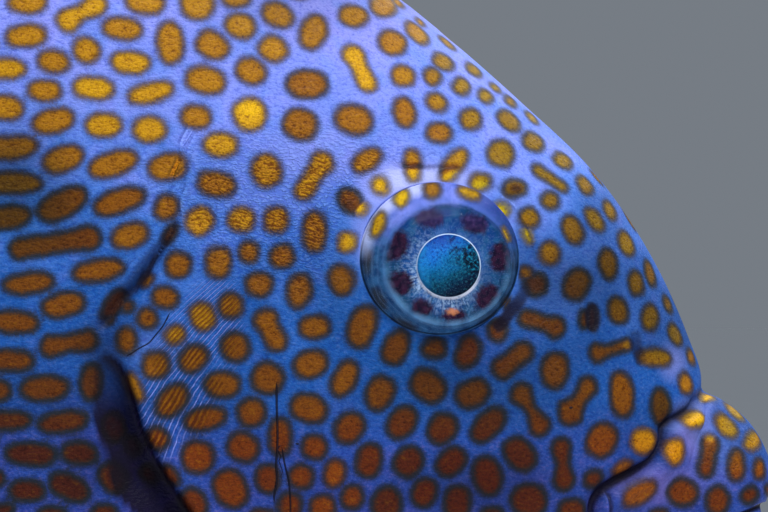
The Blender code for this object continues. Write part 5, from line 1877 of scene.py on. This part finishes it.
class EyeShading(Shading):
    """Shading that knows how far and which way a point lies from the pupil, and how far past the iris."""

    def __init__(self, name):
        super().__init__(name)
        self.from_pupil, self.from_iris = self.field("from_pupil"), self.field("from_iris")
        self.in_eye, self.round_eye = self.field("in_eye", "Vector"), self.field("round_eye", "Vector")
        self.x, self.y, _ = self.parts(self.in_eye)
        self.turn_x, self.turn_y, _ = self.parts(self.round_eye)

    def fibres(self, fineness, drift, detail=3.0):
        """A grain drawn out along the radii."""
        away = self.node("ShaderNodeCombineXYZ", None, Z=self.times(self.from_pupil, drift)).outputs[0]
        return self.clouds(self.moved(away, self.round_eye, fineness), 1.0, detail)

    def mottle(self, scale, detail=3.0):
        return self.clouds(self.in_eye, scale, detail)


def pupil_colour(s):
    """A painted reflection of light in the lens: azure to the upper left and nearly black to the lower
    right, with fine specks.
    """
    slant = s.plus(s.times(s.x, 0.54), s.times(s.y, 0.76))
    slant = s.plus(slant, s.swing(s.mottle(1.6), 0.9))
    pupil = s.ramp(
        s.straight(slant, -1.0, 1.0),
        (0.0, srgb(24, 66, 168)), (0.22, srgb(20, 108, 206)), (0.45, srgb(12, 108, 172)),
        (0.62, srgb(8, 78, 110)), (0.82, srgb(6, 36, 66)), (1.0, srgb(5, 10, 34)),
    )
    grain = s.mottle(13.0, 5.0)
    pupil = s.tinted(s.between(grain, 0.5, 0.36, 0.0, 0.7), pupil, srgb(80, 120, 150))
    pupil = s.lifted(s.between(grain, 0.54, 0.70, 0.0, 0.6), pupil, srgb(40, 110, 120))
    glint_side = s.between(s.less(s.x, s.y), 0.0, 0.9)
    glint_side = s.times(glint_side, s.between(s.mottle(2.2), 0.38, 0.56))
    bright_specks = s.times(s.between(grain, 0.50, 0.64), 0.8)
    left_side = s.times(s.between(s.x, -0.45, -0.92, 0.0, 0.75), s.between(s.y, 0.95, 0.4))
    left_side = s.times(left_side, s.between(s.mottle(7.0, 4.0), 0.4, 0.56, 0.4, 1.0))
    pupil = s.mix(left_side, pupil, srgb(34, 138, 204))
    pupil = s.tinted(s.times(glint_side, 0.6), pupil, srgb(120, 150, 160))
    pupil = s.mix(s.times(glint_side, bright_specks), pupil, srgb(20, 134, 170))
    dark_specks = s.times(s.between(s.mottle(5.0, 9.0), 0.50, 0.57), 0.95)
    pupil = s.mix(s.times(dark_specks, glint_side), pupil, srgb(2, 12, 28))
    top_shade = s.times(s.between(s.y, -0.35, -1.0), s.between(s.math("ABSOLUTE", s.x), 0.9, 0.2))
    return s.mix(s.times(top_shade, 0.6), pupil, srgb(8, 56, 140))


def iris_colour(s, arc):
    """Blue with pale fibres and dark blotches, painted shade to the lower right, one orange fleck that is a
    painted highlight, and a painted haze of reflected light along its edge.
    """
    warped = s.plus(s.straight(s.from_pupil, 1.0, 1.95), s.swing(s.mottle(1.5), 0.7))
    iris = s.ramp(
        warped, (0.0, srgb(66, 112, 178)), (0.2, srgb(36, 88, 156)), (0.45, srgb(16, 68, 130)),
        (0.75, srgb(12, 60, 100)), (1.0, srgb(20, 70, 102)),
    )
    upper = s.between(s.turn_y, 0.3, -0.8)
    iris = s.mix(s.times(upper, s.between(s.mottle(2.0), 0.36, 0.58, 0.25, 0.85)), iris, srgb(2, 52, 122))
    # Painted shade to the lower right
    low_right = s.between(s.plus(s.turn_x, s.turn_y), 0.55, 1.3, 0.0, 0.5)
    iris = s.mix(low_right, iris, srgb(4, 34, 66))
    teal = s.between(s.mottle(2.3), 0.46, 0.66)
    iris = s.mix(s.times(teal, 0.5), iris, srgb(38, 98, 142))
    fine = s.plus(s.times(s.fibres(30.0, 4.5, 4.0), 0.36), s.times(s.mottle(9.0, 5.0), 0.64))
    cloud = s.times(s.between(s.mottle(1.3), 0.34, 0.6, 0.35, 1.0), s.between(s.from_pupil, 1.80, 1.0))
    pale = s.times(s.between(fine, 0.42, 0.62), cloud)
    lower_left = s.between(s.less(s.turn_y, s.turn_x), -0.9, 1.1, 0.08, 1.0)
    iris = s.mix(s.times(pale, lower_left), iris, srgb(168, 196, 232))
    dark_fibres = s.times(s.between(s.fibres(26.0, 4.0, 4.0), 0.34, 0.56, 0.45, 0.0), lower_left)
    iris = s.mix(dark_fibres, iris, srgb(10, 28, 66))
    iris = s.mix(s.between(s.mottle(18.0, 2.0), 0.52, 0.66, 0.0, 0.22), iris, srgb(110, 132, 196))
    blotch = s.plus(s.field("blotch_mm"), s.swing(s.mottle(4.0, 4.0), 0.9))
    blotch = s.plus(blotch, s.swing(s.fibres(24.0, 2.5), 0.6))
    purple = s.mix(s.between(s.mottle(6.0, 5.0), 0.35, 0.65), srgb(16, 2, 26), srgb(50, 18, 44))
    lilac = s.mix(s.between(s.mottle(7.0, 5.0), 0.35, 0.65), srgb(26, 24, 70), srgb(64, 48, 98))
    purple = s.mix(s.between(s.y, -0.85, -1.5, 0.0, 0.8), purple, lilac)
    iris = s.mix(s.between(blotch, 0.36, -0.44, 0.0, 0.97), iris, purple)
    # The orange fleck below the pupil, a painted highlight
    low_x, low_y = s.less(s.x, 0.12), s.less(s.y, 1.45)
    low_y = s.times(low_y, 1.7)
    from_orange = s.math("SQRT", s.plus(s.times(low_x, low_x), s.times(low_y, low_y)))
    from_orange = s.plus(from_orange, s.swing(s.mottle(9.0, 4.0), 0.3))
    iris = s.mix(s.between(from_orange, 0.28, 0.04, 0.0, 0.9), iris, srgb(196, 124, 84))
    # Painted haze of reflected light along the iris's edge
    return s.mix(s.times(arc, 0.38), iris, srgb(100, 148, 196))


def ring_colour(s, arc):
    """The ring round the iris, spotted skin above and clear below, with a painted highlight at the upper
    left, painted shade on the right and a line of painted shade at its rim.
    """
    ring_skin = s.mix(s.between(s.mottle(1.8), 0.35, 0.65), srgb(86, 110, 208), srgb(126, 142, 236))
    # Painted shade on the right of the ring
    ring_skin = s.mix(s.between(s.turn_x, 0.0, 0.75, 0.0, 0.92), ring_skin, srgb(22, 54, 122))
    ring_skin = s.mix(s.between(s.mottle(14.0, 3.0), 0.5, 0.36, 0.0, 0.4), ring_skin, srgb(66, 70, 168))
    ring_skin = s.mix(s.between(s.from_iris, 1.18, 1.0, 0.0, 0.6), ring_skin, srgb(70, 104, 190))
    ring_clear = s.mix(s.between(s.mottle(3.0), 0.35, 0.65), srgb(20, 56, 104), srgb(44, 92, 142))
    ring_clear = s.mix(s.between(s.field("faint_mm"), 0.5, -0.5, 0.0, 0.75), ring_clear, srgb(44, 40, 30))
    ring_clear = s.mix(s.times(arc, 0.38), ring_clear, srgb(100, 148, 196))
    # Painted shade on the right of the clear part
    ring_clear = s.mix(s.between(s.turn_x, 0.2, 0.9, 0.0, 0.5), ring_clear, srgb(16, 42, 70))
    circles = s.math("SINE", s.plus(s.times(s.from_iris, 75.0), s.times(s.mottle(1.2), 9.0)))
    ring_clear = s.mix(s.between(circles, 0.0, 1.0, 0.0, 0.10), ring_clear, srgb(110, 150, 204))
    fall = s.plus(s.turn_y, s.swing(s.mottle(2.5), 0.6))
    fall = s.plus(fall, s.times(s.turn_x, -0.1))
    ring = s.mix(s.between(fall, -0.86, -0.06), ring_skin, ring_clear)
    rim = s.field("rim")
    # A painted highlight at the upper left of the ring
    lit = s.between(s.plus(s.turn_x, s.turn_y), -1.02, -1.36, 0.0, 0.8)
    ring = s.mix(s.times(lit, s.between(rim, 0.80, 0.95)), ring, srgb(198, 208, 255))
    ring = spotted(s, ring, s.mottle(9.0), 1.2, warm=0.3)
    # A line of painted shade in the crevice at the rim, strongest below
    rim_line = s.band(rim, 0.966, 0.980, 0.986, 0.998)
    rim_line = s.times(rim_line, s.between(s.turn_y, -0.55, 0.15, 0.12, 0.85))
    return s.mix(rim_line, ring, srgb(6, 16, 40))


def eyeball_material():
    """The spotted ring, the iris with its blotches and fibres, and the pupil's painted azure reflection with
    its pale edge and a painted flare of light below it.
    """
    s = EyeShading("rabbitfish eye")
    # A painted haze of reflected light round the lower part of the iris's edge
    arc = s.band(s.from_iris, 0.88, 0.985, 0.995, 1.09)
    arc = s.times(arc, s.between(s.turn_y, -0.5, 0.35), s.between(s.mottle(1.6), 0.3, 0.6))
    edge = s.plus(s.from_iris, s.swing(s.mottle(4.0), 0.12))
    colour = s.mix(s.between(edge, 0.95, 1.05), iris_colour(s, arc), ring_colour(s, arc))
    bottom = s.between(s.turn_y, 0.1, 0.95)
    thin = s.band(s.from_pupil, 0.980, 0.998, 1.010, 1.032)
    # A painted flare of light below the pupil
    flare = s.band(s.from_pupil, 0.985, 1.01, 1.03, 1.11)
    flare = s.times(flare, bottom, s.between(s.mottle(5.0), 0.3, 0.5))
    colour = s.mix(s.between(s.from_pupil, 1.015, 0.985), colour, pupil_colour(s))
    colour = s.mix(s.times(thin, s.between(bottom, 0.0, 1.0, 0.74, 1.0)), colour, srgb(206, 228, 252))
    colour = s.mix(s.times(flare, 0.9), colour, srgb(232, 236, 255))
    grain_height = s.bump(s.fibres(26.0, 2.0), 0.03 * MM)
    return s.done(Base_Color=colour, Roughness=0.5, Normal=grain_height, Specular_IOR_Level=0.05)


def cornea_material():
    s = Shading("clear cornea")
    return s.done(
        Base_Color=(0.03, 0.05, 0.09), Roughness=0.04, Alpha=0.05, IOR=1.4,
        Coat_Weight=0.1, Coat_Roughness=0.03,
    )


def wood_material():
    """Dark stained wood with its grain along the base."""
    s = Shading("stained wood")
    drift = s.noise(60, 2.0, (6, 1, 1))
    bands = s.noise(2.6, 4.0, (26, 1, 0.6), roughness=0.6)
    pores = s.noise(0.35, 2.0, (22, 1, 1))
    colour = s.ramp(
        s.plus(s.times(bands, 0.75), s.times(drift, 0.3)),
        (0.2, srgb(44, 26, 16)), (0.5, srgb(78, 48, 28)), (0.85, srgb(116, 74, 44)),
    )
    colour = s.mix(s.between(pores, 0.55, 0.7, 0.0, 0.6), colour, srgb(28, 16, 10))
    normal = s.bump(s.less(1.0, s.between(pores, 0.55, 0.7)), 0.03 * MM)
    roughness = s.between(bands, 0.3, 0.7, 0.34, 0.46)
    return s.done(
        Base_Color=colour, Roughness=roughness, Normal=normal, Coat_Weight=0.5, Coat_Roughness=0.18,
    )


def steel_material():
    """Satin steel, brushed round the rod."""
    s = Shading("satin steel")
    brushed = s.noise(0.12, 3.0, (30, 30, 1))
    roughness = s.between(brushed, 0.3, 0.7, 0.24, 0.38)
    colour = s.mix(s.noise(3.0, 2.0), (0.52, 0.53, 0.55), (0.60, 0.61, 0.62))
    return s.done(Base_Color=colour, Metallic=1.0, Roughness=roughness, Normal=s.bump(brushed, 0.004 * MM))


SKY_COLOUR = (0.50, 0.56, 0.64)
SKY_STRENGTH = 0.36
FLOOR_RADIUS = 14.0
# So that the floor's far edge is as bright as the backdrop
FLOOR_GLOW = SKY_STRENGTH * 0.171
LIT_PLACE = Vector((0.11, 0, 0.14))
# Lights: name, place from the lit place, size, power, colour
LIGHTS = [
    ("key", (0.20, -0.30, 0.60), 0.38, 6.2, (1.0, 0.99, 0.98)),
    ("fill", (-0.6, -0.9, 0.15), 0.9, 0.8, (0.92, 0.96, 1.0)),
    ("rim", (0.35, 0.55, 0.60), 0.5, 3.0, (1.0, 1.0, 1.0)),
    ("far_side", (-0.3, 0.9, 0.4), 0.8, 2.4, (1.0, 1.0, 1.0)),
]


def stage_and_light():
    """A pale floor, a soft key light from above and ahead, and weaker ones round it."""
    floor_mesh = bmesh.new()
    bmesh.ops.create_circle(floor_mesh, cap_ends=True, segments=96, radius=FLOOR_RADIUS)
    mesh = bpy.data.meshes.new("floor")
    floor_mesh.to_mesh(mesh)
    floor_mesh.free()
    floor = linked("floor", mesh)
    s = Shading("pale floor")
    pale = s.mix(s.noise(40, 3.0), (0.80, 0.80, 0.80), (0.84, 0.84, 0.84))
    mesh.materials.append(s.done(
        Base_Color=pale, Roughness=0.8, Specular_IOR_Level=0.1, Emission_Color=SKY_COLOUR,
        Emission_Strength=FLOOR_GLOW,
    ))

    world = bpy.data.worlds.new("studio")
    bpy.context.scene.world = world
    world.use_nodes = True
    background = world.node_tree.nodes["Background"]
    background.inputs["Color"].default_value = (*SKY_COLOUR, 1)
    background.inputs["Strength"].default_value = SKY_STRENGTH

    for name, offset, size, power, colour in LIGHTS:
        light = bpy.data.lights.new(name, "AREA")
        light.size = size
        light.energy = power
        light.color = colour
        lamp = linked(name, light)
        lamp.location = LIT_PLACE + Vector(offset)
        lamp.rotation_euler = (-Vector(offset)).to_track_quat("-Z", "Y").to_euler()


def photo_camera():
    """Looks level along +Y at the head, in the photo's framing."""
    camera = bpy.data.cameras.new("photo camera")
    camera.sensor_width = SENSOR_MM
    camera.lens = SENSOR_MM * CAMERA_DISTANCE / (IMAGE_WIDTH * PIXEL)
    camera.clip_start = 0.01
    camera.clip_end = 20
    holder = linked("photo camera", camera)
    holder.location = (VIEW_CENTRE[0], -CAMERA_DISTANCE, VIEW_CENTRE[1])
    holder.rotation_euler = (math.pi / 2, 0, 0)
    bpy.context.scene.camera = holder


bpy.context.scene.view_settings.view_transform = "Standard"
photo_camera()
stage_and_light()
skin_piece, right_eye = skin()
finish_piece(skin_piece, skin_material(), "skin", *FLESH_NODES)
eyes(right_eye)
fins()
stand()
